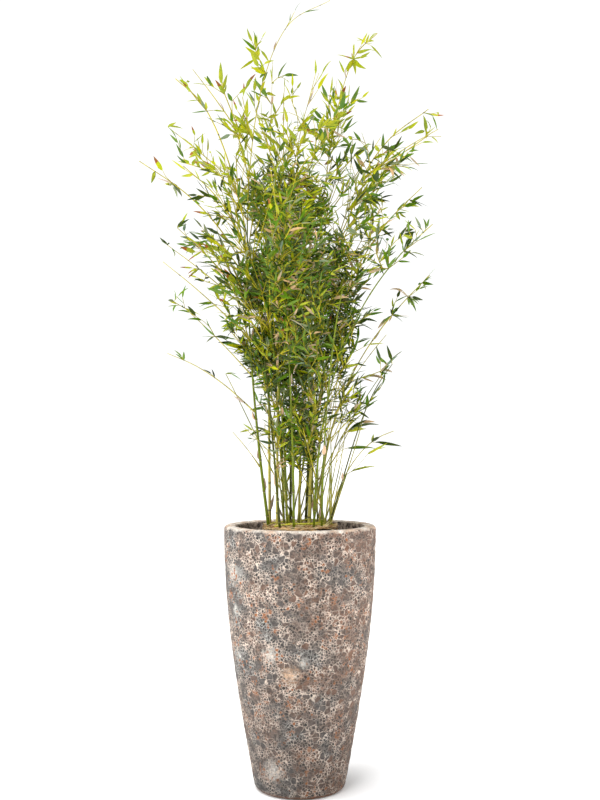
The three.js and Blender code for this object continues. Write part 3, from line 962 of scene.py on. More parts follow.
def glaze_patches(tree, position, swirl, surface, settings):
    """Lays the thick glaze over a surface colour in round patches with ragged, open edges."""
    for place, radius, kind in GLAZE_PATCHES:
        far = add(tree, "ShaderNodeVectorMath", {0: position, 1: tuple(c * MM for c in place)},
                  operation="DISTANCE")
        ragged = add(tree, "ShaderNodeMath", {0: swirl, 1: radius * 2.2 * MM, 2: far.outputs["Value"]},
                     operation="MULTIPLY_ADD")
        surface = laid_over(tree, surface, rgba(getattr(settings, kind)), ragged, radius * 1.4 * MM,
                            radius * 2.3 * MM, 0.85, 0.0)
    return surface


def crater_glaze(settings):
    """Crater glaze on stoneware, poured thick and fired until it bubbled. The bubbles burst and left a net
    of cream walls round matt grey and brown floors, with rusty and pale milky patches."""
    material, tree, shader = new_material("Crater glaze on stoneware", 0.7, 1.5)
    position = add(tree, "ShaderNodeTexCoord").outputs["Object"]
    net, large, cells = crater_field(tree, position, settings)
    coarse_chance, fine_chance = (add(tree, "ShaderNodeSeparateColor", {"Color": c.outputs["Color"]})
                                  for c in cells)
    # Grey and taupe areas a hand wide, browner to the right.
    axes = add(tree, "ShaderNodeSeparateXYZ", {0: position})
    height = axes.outputs["Z"]
    hand = add(tree, "ShaderNodeTexNoise", {"Vector": position, "Scale": 1 / (75 * MM), "Detail": 4.0})
    leaning = add(tree, "ShaderNodeMath", {0: axes.outputs["X"], 1: 0.55, 2: hand}, operation="MULTIPLY_ADD")
    floor = laid_over(tree, rgba(settings.grey_tint), rgba(settings.taupe_tint), leaning, 0.42, 0.62)
    # Each crater's floor has its own lightness.
    large_shade = add(tree, "ShaderNodeMapRange", {"Value": coarse_chance.outputs["Green"],
                                                   "To Min": 0.75, "To Max": 1.2})
    small_shade = add(tree, "ShaderNodeMapRange", {"Value": fine_chance.outputs["Red"],
                                                   "To Min": 0.25, "To Max": 1.65})
    shade = add(tree, "ShaderNodeMix", {0: large, 2: small_shade, 3: large_shade})
    floor = add(tree, "ShaderNodeVectorMath", {0: floor, "Scale": shade}, operation="SCALE")
    swirl = add(tree, "ShaderNodeTexNoise", {"Vector": position, "Scale": 1 / (14 * MM), "Detail": 4.0,
                                             "Roughness": 0.7})
    floor = glaze_patches(tree, position, swirl, floor, settings)
    # A grain drawn 6 mm wide, coarser than real, so that it shows.
    grain = add(tree, "ShaderNodeTexNoise", {"Vector": position, "Scale": 1 / (6 * MM), "Detail": 2.5,
                                             "Roughness": 0.6})
    floor = shaded_by(tree, floor, grain, 0.36, 0.64, 0.5, 1.65)
    # Faint level streaks from the wheel.
    level = add(tree, "ShaderNodeMapping", {"Vector": position, "Scale": (1, 1, 3.5)})
    streaks = add(tree, "ShaderNodeTexNoise", {"Vector": level, "Scale": 1 / (9 * MM), "Detail": 3.0})
    floor = shaded_by(tree, floor, streaks, 0.35, 0.65, 0.8, 1.2)
    # Rust shows in groups of small craters, and faintly in some large ones.
    rust_area = add(tree, "ShaderNodeTexNoise", {"Vector": position, "Scale": 1 / (45 * MM), "Detail": 1.0})
    group = add(tree, "ShaderNodeMapRange", {"Value": rust_area, "From Min": 0.5, "From Max": 0.6})
    chosen = add(tree, "ShaderNodeMath", {0: fine_chance.outputs["Green"], 1: 0.72}, operation="GREATER_THAN")
    rusty_small = add(tree, "ShaderNodeMath", {0: group, 1: chosen}, operation="MULTIPLY")
    rusty_large = add(tree, "ShaderNodeMapRange", {"Value": coarse_chance.outputs["Blue"], "From Min": 0.7,
                                                   "To Max": 0.25})
    rusty = add(tree, "ShaderNodeMix", {0: large, 2: rusty_small, 3: rusty_large})
    floor = add(tree, "ShaderNodeMix", {0: rusty, 6: floor, 7: rgba(settings.rust_tint)}, data_type="RGBA")
    # The net of crater walls comes and goes, and is whiter where the glaze ran thick.
    clouds = add(tree, "ShaderNodeTexNoise", {"Vector": position, "Scale": 1 / (30 * MM), "Detail": 3.0})
    thick = add(tree, "ShaderNodeMath", {0: axes, 1: -0.12, 2: clouds}, operation="MULTIPLY_ADD")
    wall = laid_over(tree, rgba(settings.pale_tint), rgba(settings.wall_tint), leaning, 0.33, 0.42)
    strength = add(tree, "ShaderNodeMapRange", {"Value": thick, "From Min": 0.41, "From Max": 0.59,
                                                "To Min": 0.25, "To Max": 0.95})
    net_shown = add(tree, "ShaderNodeMath", {0: net, 1: strength}, operation="MULTIPLY")
    surface = add(tree, "ShaderNodeMix", {0: net_shown, 6: floor, 7: wall}, data_type="RGBA")
    # Deep open pits in some of the small craters, painted near black: painted shade for the hollow of each
    # pit, which the mesh does not sink.
    chosen = add(tree, "ShaderNodeMath", {0: fine_chance.outputs["Blue"], 1: 0.8}, operation="GREATER_THAN")
    middle = add(tree, "ShaderNodeMath", {0: cells[1], 1: 0.38}, operation="LESS_THAN")
    pit_shade = add(tree, "ShaderNodeMath", {0: chosen, 1: middle}, operation="MULTIPLY")
    small_only = add(tree, "ShaderNodeMapRange", {"Value": large, "To Min": 0.9, "To Max": 0.0})
    pit_shade = add(tree, "ShaderNodeMath", {0: pit_shade, 1: small_only}, operation="MULTIPLY")
    surface = add(tree, "ShaderNodeMix", {0: pit_shade, 6: surface, 7: rgba(settings.pit_shade_tint)}, data_type="RGBA")
    # Painted shade: the glaze is darkened towards the foot, which the tapered wall's overhang shades, and the
    # very edge burned brown.
    surface = shaded_by(tree, surface, height, 0.0, POT_HEIGHT * 0.7, 0.6, 1.03)
    burned = rgba(shaded(settings.rust_tint, 0.6))
    surface = laid_over(tree, surface, burned, height, 1 * MM, 11 * MM, 0.9, 0.0)
    # The rim is wiped smooth, and its glaze runs out unevenly below it.
    ragged = add(tree, "ShaderNodeMath", {0: swirl_height(tree, position), 1: height}, operation="ADD")
    rim = add(tree, "ShaderNodeMapRange", {"Value": ragged, "From Min": POT_HEIGHT - 8 * MM,
                                           "From Max": POT_HEIGHT - 2 * MM, "To Max": 0.85})
    rim_glaze = laid_over(tree, rgba(settings.rim_tint), rgba(settings.peach_tint), rust_area, 0.42, 0.6,
                          0.0, 0.7)
    rim_glaze = shaded_by(tree, rim_glaze, grain, 0.36, 0.62, 0.76, 1.2)
    surface = add(tree, "ShaderNodeMix", {0: rim, 6: surface, 7: rim_glaze}, data_type="RGBA")
    tree.links.new(first_output(surface), shader.inputs["Base Color"])
    # Crater floors shine a little more than their walls.
    gloss = add(tree, "ShaderNodeMapRange", {"Value": net, "To Min": 0.6, "To Max": 0.8})
    tree.links.new(gloss.outputs[0], shader.inputs["Roughness"])
    relief = add(tree, "ShaderNodeMath", {0: grain, 1: 0.5, 2: net}, operation="MULTIPLY_ADD")
    bump = add(tree, "ShaderNodeBump", {"Height": relief, "Strength": 1.0, "Distance": 3 * MM})
    tree.links.new(bump.outputs[0], shader.inputs["Normal"])
    return material


def swirl_height(tree, position):
    """A small uneven height, within 9 mm either way."""
    noise = add(tree, "ShaderNodeTexNoise", {"Vector": position, "Scale": 1 / (25 * MM), "Detail": 3.0})
    return add(tree, "ShaderNodeMapRange", {"Value": noise, "To Min": -9 * MM, "To Max": 9 * MM})


# The refraction of wood, leaf and clay.
MATTER_IOR = 1.45


def rough_matter(name, dark, pale, size, roughness, depth, stretch=(1, 1, 1), specular=0.5):
    """A natural surface that varies between two colours over a given size, with bumps to match."""
    material, tree, shader = new_material(name, roughness, MATTER_IOR)
    position = add(tree, "ShaderNodeMapping", {"Vector": add(tree, "ShaderNodeTexCoord").outputs["Object"],
                                               "Scale": stretch})
    noise = add(tree, "ShaderNodeTexNoise", {"Vector": position, "Scale": 1 / size, "Detail": 4.0,
                                             "Roughness": 0.6})
    colour = laid_over(tree, rgba(dark), rgba(pale), noise, 0.36, 0.64)
    tree.links.new(first_output(colour), shader.inputs["Base Color"])
    bump = add(tree, "ShaderNodeBump", {"Height": noise, "Strength": 0.6, "Distance": depth})
    tree.links.new(bump.outputs[0], shader.inputs["Normal"])
    shader.inputs["Specular IOR Level"].default_value = specular
    return material


def shaded(colour, factor):
    return tuple(min(1.0, c * factor) for c in colour)


# How far a blade's tint drifts, as a share of itself.
TINT_DRIFT = 0.22


def blade_surface(name, colour, roughness):
    """A bamboo blade, smooth and thinly waxed. Its tint drifts from spray to spray, and light catches it."""
    cool = (colour[0] * (1 - 1.4 * TINT_DRIFT), colour[1] * (1 - 0.8 * TINT_DRIFT), colour[2])
    warm = (colour[0] * (1 + 1.5 * TINT_DRIFT), colour[1] * (1 + 0.8 * TINT_DRIFT), colour[2])
    # A faint bump from the same noise as its tint breaks up its shine.
    return rough_matter(name, cool, warm, 45 * MM, roughness, 0.1 * MM, specular=0.12)


# ---- Operators ----

class BAMBOO_OT_pot(bpy.types.Operator):
    """Build the pot: a tall turned wall with a thick rim, its crater glaze standing in relief"""
    bl_idname = "bamboo.pot"
    bl_label = "Pot"

    def execute(self, context):
        settings = context.scene.bamboo_pot

        def outer(z):
            swell = np.sin(np.pi / 2 * z / POT_HEIGHT)
            return settings.foot_radius + (POT_RADIUS - settings.foot_radius) * swell

        def inner(z):
            low, high = POT_HEIGHT - 50 * MM, POT_HEIGHT - settings.edge
            t = np.clip((z - low) / (high - low), 0, 1)
            return outer(z) - settings.wall - (settings.lip - settings.wall) * t * t * (3 - 2 * t)

        def rounding(radius, height, size, start, end, steps):
            angles = np.radians(np.linspace(start, end, steps))
            return np.stack([radius + size * np.cos(angles), height + size * np.sin(angles)], axis=1)

        edge, heel = settings.edge, settings.heel
        wall_heights = np.linspace(heel, POT_HEIGHT - edge, 186)[1:-1]
        inner_heights = np.linspace(POT_HEIGHT - edge, settings.base + heel, 30)[1:]
        top_inner = inner(POT_HEIGHT) + edge
        profile = np.concatenate([
            [(0, 0), (outer(heel) - heel - 14 * MM, 0)],
            rounding(outer(heel) - heel, heel, heel, -90, 0, 8),
            np.stack([outer(wall_heights), wall_heights], axis=1),
            rounding(outer(POT_HEIGHT) - edge, POT_HEIGHT - edge, edge, 0, 90, 7),
            rounding(top_inner, POT_HEIGHT - edge, edge, 90, 180, 7),
            np.stack([inner(inner_heights), inner_heights], axis=1),
            rounding(inner(settings.base + heel) - heel, settings.base + heel, heel, 0, -90, 4)[1:],
            [(0, settings.base)],
        ])
        columns = 400
        points, faces = lathe(profile, columns)
        rows = profile[1:-1]
        middles = (rows[:-1] + rows[1:]) / 2
        is_bare = (middles[:, 1] < 1.5 * MM) | (
            (middles[:, 0] < inner(middles[:, 1]) + 2 * MM) & (middles[:, 1] < POT_HEIGHT - 3 * MM))
        slots = np.concatenate([np.repeat(is_bare.astype(int), columns), np.ones(2 * columns, dtype=int)])
        # Unglazed stoneware, sandy and matt.
        bare = rough_matter("Bare stoneware", settings.bare_dark_tint, settings.bare_pale_tint, 8 * MM, 0.85,
                            1.5 * MM)
        piece = add_piece("crater_pot", points, faces, [crater_glaze(settings), bare], slots,
                          replaced=["pot"])
        # The relief is full on the wall, slight on the rim, half inside, and nil on the bottom's two sides.
        height, radius = points[:, 2], np.hypot(points[:, 0], points[:, 1])
        weight = np.clip((height - 1 * MM) / (12 * MM), 0, 1)
        weight *= 1 - 0.65 * np.clip((height - POT_HEIGHT + 14 * MM) / (10 * MM), 0, 1)
        weight[radius < inner(np.maximum(height, settings.base)) + 1 * MM] *= 0.5
        weight[(height < settings.base + 1 * MM) & (radius < inner(settings.base))] = 0
        relief = piece.data.attributes.new("relief", "FLOAT", "POINT")
        relief.data.foreach_set("value", weight.astype(np.float32))
        piece.modifiers.new("Crater relief", "NODES").node_group = crater_relief(settings)
        return {"FINISHED"}


def crater_relief(settings):
    """A geometry tree that raises the crater walls out of the pot's skin and sinks the floors."""
    tree = bpy.data.node_groups.new("Crater relief", "GeometryNodeTree")
    for way in ("INPUT", "OUTPUT"):
        tree.interface.new_socket("Geometry", in_out=way, socket_type="NodeSocketGeometry")
    position = add(tree, "GeometryNodeInputPosition").outputs[0]
    net, large, _ = crater_field(tree, position, settings)
    # A large crater is sunk deeper than the small ones, which leave the skin rough and swollen.
    sunk = add(tree, "ShaderNodeMath", {0: large, 1: -0.5, 2: net}, operation="MULTIPLY_ADD")
    lumps = add(tree, "ShaderNodeTexNoise", {"Vector": position, "Scale": 1 / (22 * MM), "Detail": 3.0})
    height = add(tree, "ShaderNodeMath", {0: lumps, 1: 1.8, 2: sunk}, operation="MULTIPLY_ADD")
    weight = add(tree, "GeometryNodeInputNamedAttribute", {"Name": "relief"}, data_type="FLOAT")
    amount = add(tree, "ShaderNodeMath", {
        0: add(tree, "ShaderNodeMath", {0: height, 1: 1.3}, operation="SUBTRACT"),
        1: add(tree, "ShaderNodeMath", {0: weight, 1: settings.relief}, operation="MULTIPLY")},
        operation="MULTIPLY")
    offset = add(tree, "ShaderNodeVectorMath", {0: add(tree, "GeometryNodeInputNormal"), "Scale": amount},
                 operation="SCALE")
    moved = add(tree, "GeometryNodeSetPosition", {"Geometry": add(tree, "NodeGroupInput"), "Offset": offset})
    add(tree, "NodeGroupOutput", {0: moved})
    return tree


def pebble():
    """A rounded stone of 80 facets and unit radius."""
    shape = bmesh.new()
    bmesh.ops.create_icosphere(shape, subdivisions=2, radius=1)
    points = np.array([v.co for v in shape.verts])
    faces = np.array([[v.index for v in f.verts] for f in shape.faces])
    shape.free()
    return points, faces


def random_turns(count, rng):
    return axes_for(rng.normal(size=(count, 3)), rng.normal(size=(count, 3)))


class BAMBOO_OT_granules(bpy.types.Operator):
    """Build the bed of clay granules that carries the root ball"""
    bl_idname = "bamboo.granules"
    bl_label = "Granules"

    def execute(self, context):
        settings = context.scene.bamboo_ball
        rng = np.random.default_rng(GRANULE_SEED)
        count = settings.granules
        pot = context.scene.bamboo_pot
        bottom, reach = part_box("granule_fill")[0].z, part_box("granule_fill")[1].y
        foot = pot.foot_radius - pot.wall - 8 * MM
        # The bed under the granules in view, which is one body.
        heights = np.linspace(bottom, FILL_TOP - 5 * MM, 14)
        radii = np.interp(heights, [bottom, bottom + 30 * MM, FILL_TOP],
                          [foot - 15 * MM, foot + 8 * MM, reach])
        core, core_faces = lathe([(0, bottom), *zip(radii, heights), (0, FILL_TOP - 5 * MM)], 72)
        angles = rng.uniform(0, 2 * np.pi, count)
        inner, outer = BALL_RADIUS * 0.8, reach - 7 * MM
        radii = np.sqrt(rng.uniform(inner ** 2, outer ** 2, count))
        places = np.stack([radii * np.cos(angles), radii * np.sin(angles),
                           FILL_TOP - rng.uniform(2, 7, count) * MM], axis=1)
        shape, shape_faces = pebble()
        scales = rng.uniform(4, 7.5, (count, 1)) * MM * rng.uniform(0.75, 1, (count, 3))
        stones, stone_faces = scattered(shape, [shape_faces], places, random_turns(count, rng), scales)
        # Expanded clay, tumbled and fired: round, dull and open-pored.
        clay = rough_matter("Fired clay granules", shaded(settings.clay_tint, 0.7),
                            shaded(settings.clay_tint, 1.35), 5 * MM, 0.9, 0.5 * MM)
        add_piece("clay_granules", np.concatenate([core, stones]),
                  [*core_faces, stone_faces[0] + len(core)], [clay],
                  replaced=["granule_fill"])
        return {"FINISHED"}


def wavy(points, size, rng):
    """A smooth seeded unevenness, about -1 to 1, that repeats no shorter than the given size."""
    waves = rng.normal(size=(14, 3)) / size * 3
    phases = rng.uniform(0, 2 * np.pi, 14)
    return np.sin(points @ waves.T + phases).sum(axis=1) / 5


def loose_lines(starts, headings, lengths, radii, bend, rng):
    """Short curved strands, each a line that strays by the bend as it goes."""
    steps = 5
    lines = []
    for start, heading, long, radius in zip(starts, headings, lengths, radii):
        stray = rng.normal(0, bend, 3)
        t = np.linspace(0, 1, steps)[:, None]
        lines.append((start + heading * long * t + stray * long * t ** 2,
                      radius * np.linspace(1, 0.6, steps)))
    return lines


# The mulch lies lower at the left front: how far it falls per metre to the left, and per metre forward.
FALL_LEFT, FALL_FORWARD = 0.03, 0.04


def mulch_dip(points):
    """How far the mulch lies below its full height at each point."""
    return np.clip(-points[:, 0] * FALL_LEFT - points[:, 1] * FALL_FORWARD, 0, 1)


def on_mulch(count, rng):
    """Seeded places on top of the mulch."""
    angles = rng.uniform(0, 2 * np.pi, count)
    radii = BALL_RADIUS * 0.97 * np.sqrt(rng.uniform(0, 1, count))
    flat = np.stack([radii * np.cos(angles), radii * np.sin(angles)], axis=1)
    return np.concatenate([flat, (SOIL - mulch_dip(flat))[:, None]], axis=1)


def nearly_level(count, tilt, rng):
    """Seeded directions, level but for a small tilt."""
    angles = rng.uniform(0, 2 * np.pi, count)
    return unit(np.stack([np.cos(angles), np.sin(angles), rng.normal(0, tilt, count)], axis=1))


def ball_side(heights):
    """The root ball's radius at some heights. It narrows to its foot."""
    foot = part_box("root_ball")[0].x * -0.86
    return np.interp(heights, [BALL_BOTTOM, SOIL], [foot, BALL_RADIUS])


def add_peat(settings, rng):
    """The ball's body of compost, damp, dark and crumbly."""
    heights = np.linspace(BALL_BOTTOM, SOIL - 6 * MM, 34)
    side = np.stack([ball_side(heights), heights], axis=1)
    shoulder = [(BALL_RADIUS - 2 * MM, SOIL - 3 * MM)]
    top = [(r * BALL_RADIUS, SOIL - 2 * MM) for r in np.linspace(0.93, 0.06, 14)]
    points, faces = lathe([(0, BALL_BOTTOM), *side, *shoulder, *top, (0, SOIL - 2 * MM)], 96)
    out = unit(points * [1, 1, 0])
    is_top = points[:, 2] > SOIL - 4 * MM
    uneven = wavy(points, 22 * MM, rng) + 0.5 * wavy(points, 8 * MM, rng)
    points += out * (uneven * 1.8 * MM * ~is_top)[:, None]
    points[:, 2] += uneven * 2.0 * MM * is_top
    points[:, 2] -= mulch_dip(points) * is_top
    peat = rough_matter("Damp peat", shaded(settings.peat_tint, 0.6), shaded(settings.peat_tint, 1.6),
                        9 * MM, 0.95, 1.5 * MM)
    add_piece("peat_ball", points, faces, [peat], replaced=["root_ball"])


def add_chips(settings, rng):
    """Chips of weathered softwood, chopped flat, matt and greyed."""
    outline = np.array([(-1, -0.7, 0), (-0.3, -1, 0), (0.9, -0.8, 0), (1, 0.6, 0), (-0.2, 1, 0),
                        (-0.9, 0.5, 0)])
    shape = np.concatenate([outline - [0, 0, 1], outline * 0.9 + [0, 0, 1]])
    ring = np.arange(6)
    sides = np.stack([ring, (ring + 1) % 6, (ring + 1) % 6 + 6, ring + 6], axis=1)
    caps = np.array([ring[::-1], ring + 6])
    count = settings.chips
    sizes = np.stack([rng.uniform(4, 11, count), rng.uniform(1.8, 4.5, count),
                      rng.uniform(0.4, 1.0, count)], axis=1) * MM
    normals = UP + rng.normal(0, 0.45, (count, 3))
    places = on_mulch(count, rng) + UP * (rng.uniform(-1, 5, (count, 1)) * MM)
    points, faces = scattered(shape, [sides, caps], places,
                              axes_for(nearly_level(count, 0.2, rng), normals), sizes)
    wood = rough_matter("Weathered wood chips", shaded(settings.chip_tint, 0.55),
                        shaded(settings.chip_tint, 1.45), 14 * MM, 0.85, 0.4 * MM)
    add_piece("mulch_chips", points, faces, [wood], smooth=False,
              replaced=["root_ball"])


def add_straw(settings, rng):
    """Straw and dead leaf ends on top, bleached and a little glossy."""
    count = settings.straws
    straw = loose_lines(on_mulch(count, rng) + UP * 3 * MM, nearly_level(count, 0.25, rng),
                        rng.uniform(14, 46, count) * MM, rng.uniform(0.5, 1.1, count) * MM, 0.12, rng)
    straw = [(np.clip(p, [-BALL_RADIUS, -BALL_RADIUS, 0], [BALL_RADIUS, BALL_RADIUS, 1]), r)
             for p, r in straw]
    points, faces = tubes(straw, 3)
    dry = rough_matter("Dry straw", shaded(settings.straw_tint, 0.75), shaded(settings.straw_tint, 1.2),
                       18 * MM, 0.7, 0.2 * MM)
    add_piece("straw", points, faces, [dry], replaced=["root_ball"])


def add_roots(settings, rng):
    """Pale, fibrous roots matted over the ball's side."""
    steps = 7
    roots = []
    for _ in range(settings.roots):
        angle, z = rng.uniform(0, 2 * np.pi), rng.uniform(BALL_BOTTOM + 10 * MM, SOIL - 6 * MM)
        turn = angle + np.linspace(0, rng.uniform(-0.5, 0.5), steps)
        heights = z + np.linspace(0, rng.uniform(-45, 45) * MM, steps) + rng.normal(0, 2 * MM, steps)
        heights = np.clip(heights, BALL_BOTTOM + 3 * MM, SOIL - 3 * MM)
        out = ball_side(heights) + 1.2 * MM
        roots.append((np.stack([out * np.cos(turn), out * np.sin(turn), heights], axis=1),
                      np.full(steps, rng.uniform(0.5, 1.3) * MM)))
    points, faces = tubes(roots, 4)
    root = rough_matter("Roots", settings.root_dark_tint, settings.root_pale_tint, 20 * MM, 0.75, 0.2 * MM)
    add_piece("matted_roots", points, faces, [root], replaced=["root_ball"])


# The green runners: where each starts and ends on the mulch, how high it arches and how far it sways, in mm.
RUNNERS = (((-66, -34), (88, -26), 9, -24), ((-20, -2), (70, 52), 13, 16),
           ((4, -24), (92, 2), 8, 8), ((-84, 6), (-10, 40), 7, 12))


def add_runners(settings):
    """Green runners that grow over the mulch between the culms, smooth and thinly waxed."""
    steps = 22
    t = np.linspace(0, 1, steps)
    # They taper, with a slight ring at every fifth step.
    radii = (2.3 - 0.8 * t) * MM * (1 + 0.12 * (np.arange(steps) % 5 == 0))
    lines = []
    for start, end, lift, sway in RUNNERS:
        x = start[0] + (end[0] - start[0]) * t
        y = start[1] + (end[1] - start[1]) * t + sway * np.sin(np.pi * t) + 3 * np.sin(9 * t)
        z = 2 + lift * np.sin(np.pi * t) ** 0.7
        lines.append((np.stack([x, y, z], axis=1) * MM + UP * SOIL, radii))
    points, faces = tubes(lines, 8)
    green = rough_matter("Green runner", settings.runner_dark_tint, settings.runner_pale_tint,
                         20 * MM, 0.4, 0.1 * MM)
    add_piece("runners", points, faces, [green], replaced=["root_ball"])


class BAMBOO_OT_root_ball(bpy.types.Operator):
    """Build the root ball with its matted roots, mulch, straw and the green runners that lie on it"""
    bl_idname = "bamboo.root_ball"
    bl_label = "Root ball"

    def execute(self, context):
        settings = context.scene.bamboo_ball
        rng = np.random.default_rng(BALL_SEED)
        for add_part in (add_peat, add_chips, add_straw, add_roots):
            add_part(settings, rng)
        add_runners(settings)
        return {"FINISHED"}


def cane_materials(settings):
    """Live bamboo cane: hard, smooth and thinly waxed, with corky scars and a pale bloom at the rings."""
    shades = {}
    for name, colour in (("green", settings.green_tint), ("yellow", settings.yellow_tint),
                         ("olive", settings.olive_tint), ("golden", settings.twig_tint)):
        shades[name] = rough_matter(f"Bamboo cane, {name}", shaded(colour, 0.72), shaded(colour, 1.25),
                                    16 * MM, 0.35, 0.08 * MM, (1, 1, 0.12), specular=0.22)
    scar = rough_matter("Sheath scar", shaded(settings.scar_tint, 0.7), shaded(settings.scar_tint, 1.4),
                        4 * MM, 0.7, 0.2 * MM)
    bloom = rough_matter("Cane wax bloom", shaded(settings.bloom_tint, 0.75),
                         shaded(settings.bloom_tint, 1.15), 8 * MM, 0.6, 0.05 * MM)
    return shades, scar, bloom


# The ring of a cane: offsets from it and how far each stands out, for a cane 8 mm thick.
RING_OFFSETS = np.array([-9, -4, -1.7, -0.7, 0.4, 1.8, 4.2]) * MM
RING_RISES = np.array([0, 0.05, 0.2, 0.85, 0.25, 0.6, 0]) * MM

# Culms that have ripened to yellow, or are older and darker. The rest are green.
YELLOW_CULMS = ("culm_middle", "culm_right_low", "culm_right_foot", "culm_far_right", "culm_left_straight",
                "culm_back")
OLIVE_CULMS = ("culm_tall_right", "culm_back_left", "culm_plume_left", "culm_right", "culm_right_skirt")


# A cane's material slots.
PLAIN, SCAR, BLOOM, GOLDEN = range(4)


def cane_sections(limb):
    """Where a cane's sections are, and how far each stands out: plain ones, and those of its rings."""
    plain = np.arange(0, limb.run[-1], 14 * MM)
    is_near = np.abs(plain[:, None] - limb.rings[None]).min(axis=1) < 11 * MM
    plain = plain[~is_near | (plain == 0)]
    where = np.concatenate([plain, (limb.rings[:, None] + RING_OFFSETS).ravel(), limb.run[-1:]])
    rises = np.concatenate([np.zeros(len(plain)), np.tile(RING_RISES, len(limb.rings)), [0]])
    keep = (where >= 0) & (where <= limb.run[-1])
    where, rises = where[keep], rises[keep]
    order = where.argsort(kind="stable")
    return where[order], rises[order]


def cane_radii(limb, where):
    """A cane's radii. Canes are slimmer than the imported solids, most of all high up in the core."""
    places = limb.at(where)
    slim = np.interp(places[:, 2], (0.8, 1.1, 1.6), (0.88, 0.64, 0.5))
    slim = np.maximum(slim, np.interp(np.hypot(*places[:, :2].T), (0.08, 0.2), (0, 0.9)))
    return np.interp(where, limb.run, limb.radii) * slim


def cane_slots(limb, middles, golden_from):
    """The material slots between a cane's sections: a scar at each ring, a bloom below it, and a golden skin
    from a given height up."""
    gap = middles - limb.rings[np.abs(middles[:, None] - limb.rings).argmin(axis=1)]
    slots = np.where(limb.at(middles)[:, 2] > golden_from, GOLDEN, PLAIN)
    slots[(gap > -6 * MM) & (gap < 0)] = BLOOM
    slots[(gap > -1.8 * MM) & (gap < 0.5 * MM)] = SCAR
    return slots


class BAMBOO_OT_canes(bpy.types.Operator):
    """Build each culm and bough as a cane with its rings"""
    bl_idname = "bamboo.canes"
    bl_label = "Culms and boughs"

    def execute(self, context):
        rng = np.random.default_rng(CANE_SEED)
        shades, scar, bloom = cane_materials(context.scene.bamboo_cane)
        for limb in grow_crown()[0].values():
            is_culm = limb.node.startswith("culm_")
            shade = ("yellow" if limb.node in YELLOW_CULMS or not is_culm
                     else "olive" if limb.node in OLIVE_CULMS else "green")
            sides = 10 if is_culm else 8
            where, rises = cane_sections(limb)
            radii = cane_radii(limb, where)
            radii = radii + rises * np.clip(radii / (4 * MM), 0.45, 1)
            points, faces = tubes([(limb.at(where), radii)], sides)
            slots = cane_slots(limb, (where[1:] + where[:-1]) / 2, rng.uniform(1.15, 1.5))
            slots = np.concatenate([np.repeat(slots, sides), np.full(2 * sides, PLAIN)])
            name = limb.node.replace("culm_", "cane_").replace("bough_", "branch_")
            add_piece(name, points, faces, [shades[shade], scar, bloom, shades["golden"]], slots,
                      replaced=[limb.node])
        return {"FINISHED"}


# The share of the rings that still have a sheath, and how far up a limb they go.
SHEATHED, SHEATHED_TO = 0.2, 0.93


class BAMBOO_OT_sheaths(bpy.types.Operator):
    """Build the papery sheaths that still clasp some rings"""
    bl_idname = "bamboo.sheaths"
    bl_label = "Sheaths"

    def execute(self, context):
        rng = np.random.default_rng(SHEATH_SEED)
        rows = []
        for limb in grow_crown()[0].values():
            for ring in limb.rings:
                if rng.random() > SHEATHED or ring > limb.run[-1] * SHEATHED_TO:
                    continue
                along = limb.direction(ring)
                out = unit(np.cross(along, rng.normal(size=3)))
                radius = np.interp(ring, limb.run, limb.radii)
                long = rng.uniform(22, 48) * MM
                base = limb.at(ring) + out * radius * 0.9
                direction = unit(along + out * rng.uniform(0.02, 0.3))
                width = radius * 2 + rng.uniform(2, 5) * MM
                # A sheath folds and curls the other way from a blade, so that it clasps the cane.
                rows.append((*base, *direction, *out, long, width, -rng.uniform(0.5, 0.9),
                             -rng.uniform(0, 0.15)))
        points = lay_blades(np.array(rows))
        # Sheaths dry to a thin, brittle, matt paper.
        colour = context.scene.bamboo_cane.sheath_tint
        paper = blade_surface("Dry sheath", colour, 0.75)
        inside = blade_surface("Dry sheath, inside", shaded(colour, 0.8), 0.6)
        add_blades("sheaths", [paper, inside], points)
        return {"FINISHED"}


class BAMBOO_OT_twigs(bpy.types.Operator):
    """Build the twigs that carry the sprays"""
    bl_idname = "bamboo.twigs"
    bl_label = "Twigs"

    def execute(self, context):
        _, tree, _, _, shoots = grow_crown()
        radii = tree.radii()
        stem = rough_matter("Young bamboo stem", shaded(context.scene.bamboo_cane.green_tint, 0.8),
                            shaded(context.scene.bamboo_cane.yellow_tint, 1.1), 60 * MM, 0.42, 0.1 * MM,
                            specular=0.25)
        points, faces = tubes([(shoot, np.linspace(2.2, 1.0, len(shoot)) * MM) for shoot in shoots], 6)
        add_piece("shoots", points, faces, [stem], replaced=MASS_NODES)
        lines = []
        for line in tree.lines:
            sizes = radii[line].copy()
            sizes[0] = min(sizes[0], sizes[1] * 1.15)
            lines.append((tree.points[line], sizes))
        points, faces = tubes(lines, 4)
        colour = context.scene.bamboo_cane.twig_tint
        # Young twigs are smooth and shine a little, like the canes.
        bark = rough_matter("Green and yellow twigs", shaded(colour, 0.65), shaded(colour, 1.3), 60 * MM,
                            0.42, 0.1 * MM, specular=0.25)
        add_piece("twigs", points, faces, [bark], replaced=MASS_NODES)
        return {"FINISHED"}


# A blade's underside, as shares of its own tint and of grey-green.
OWN_TINT, GREYED = 0.82, 0.18


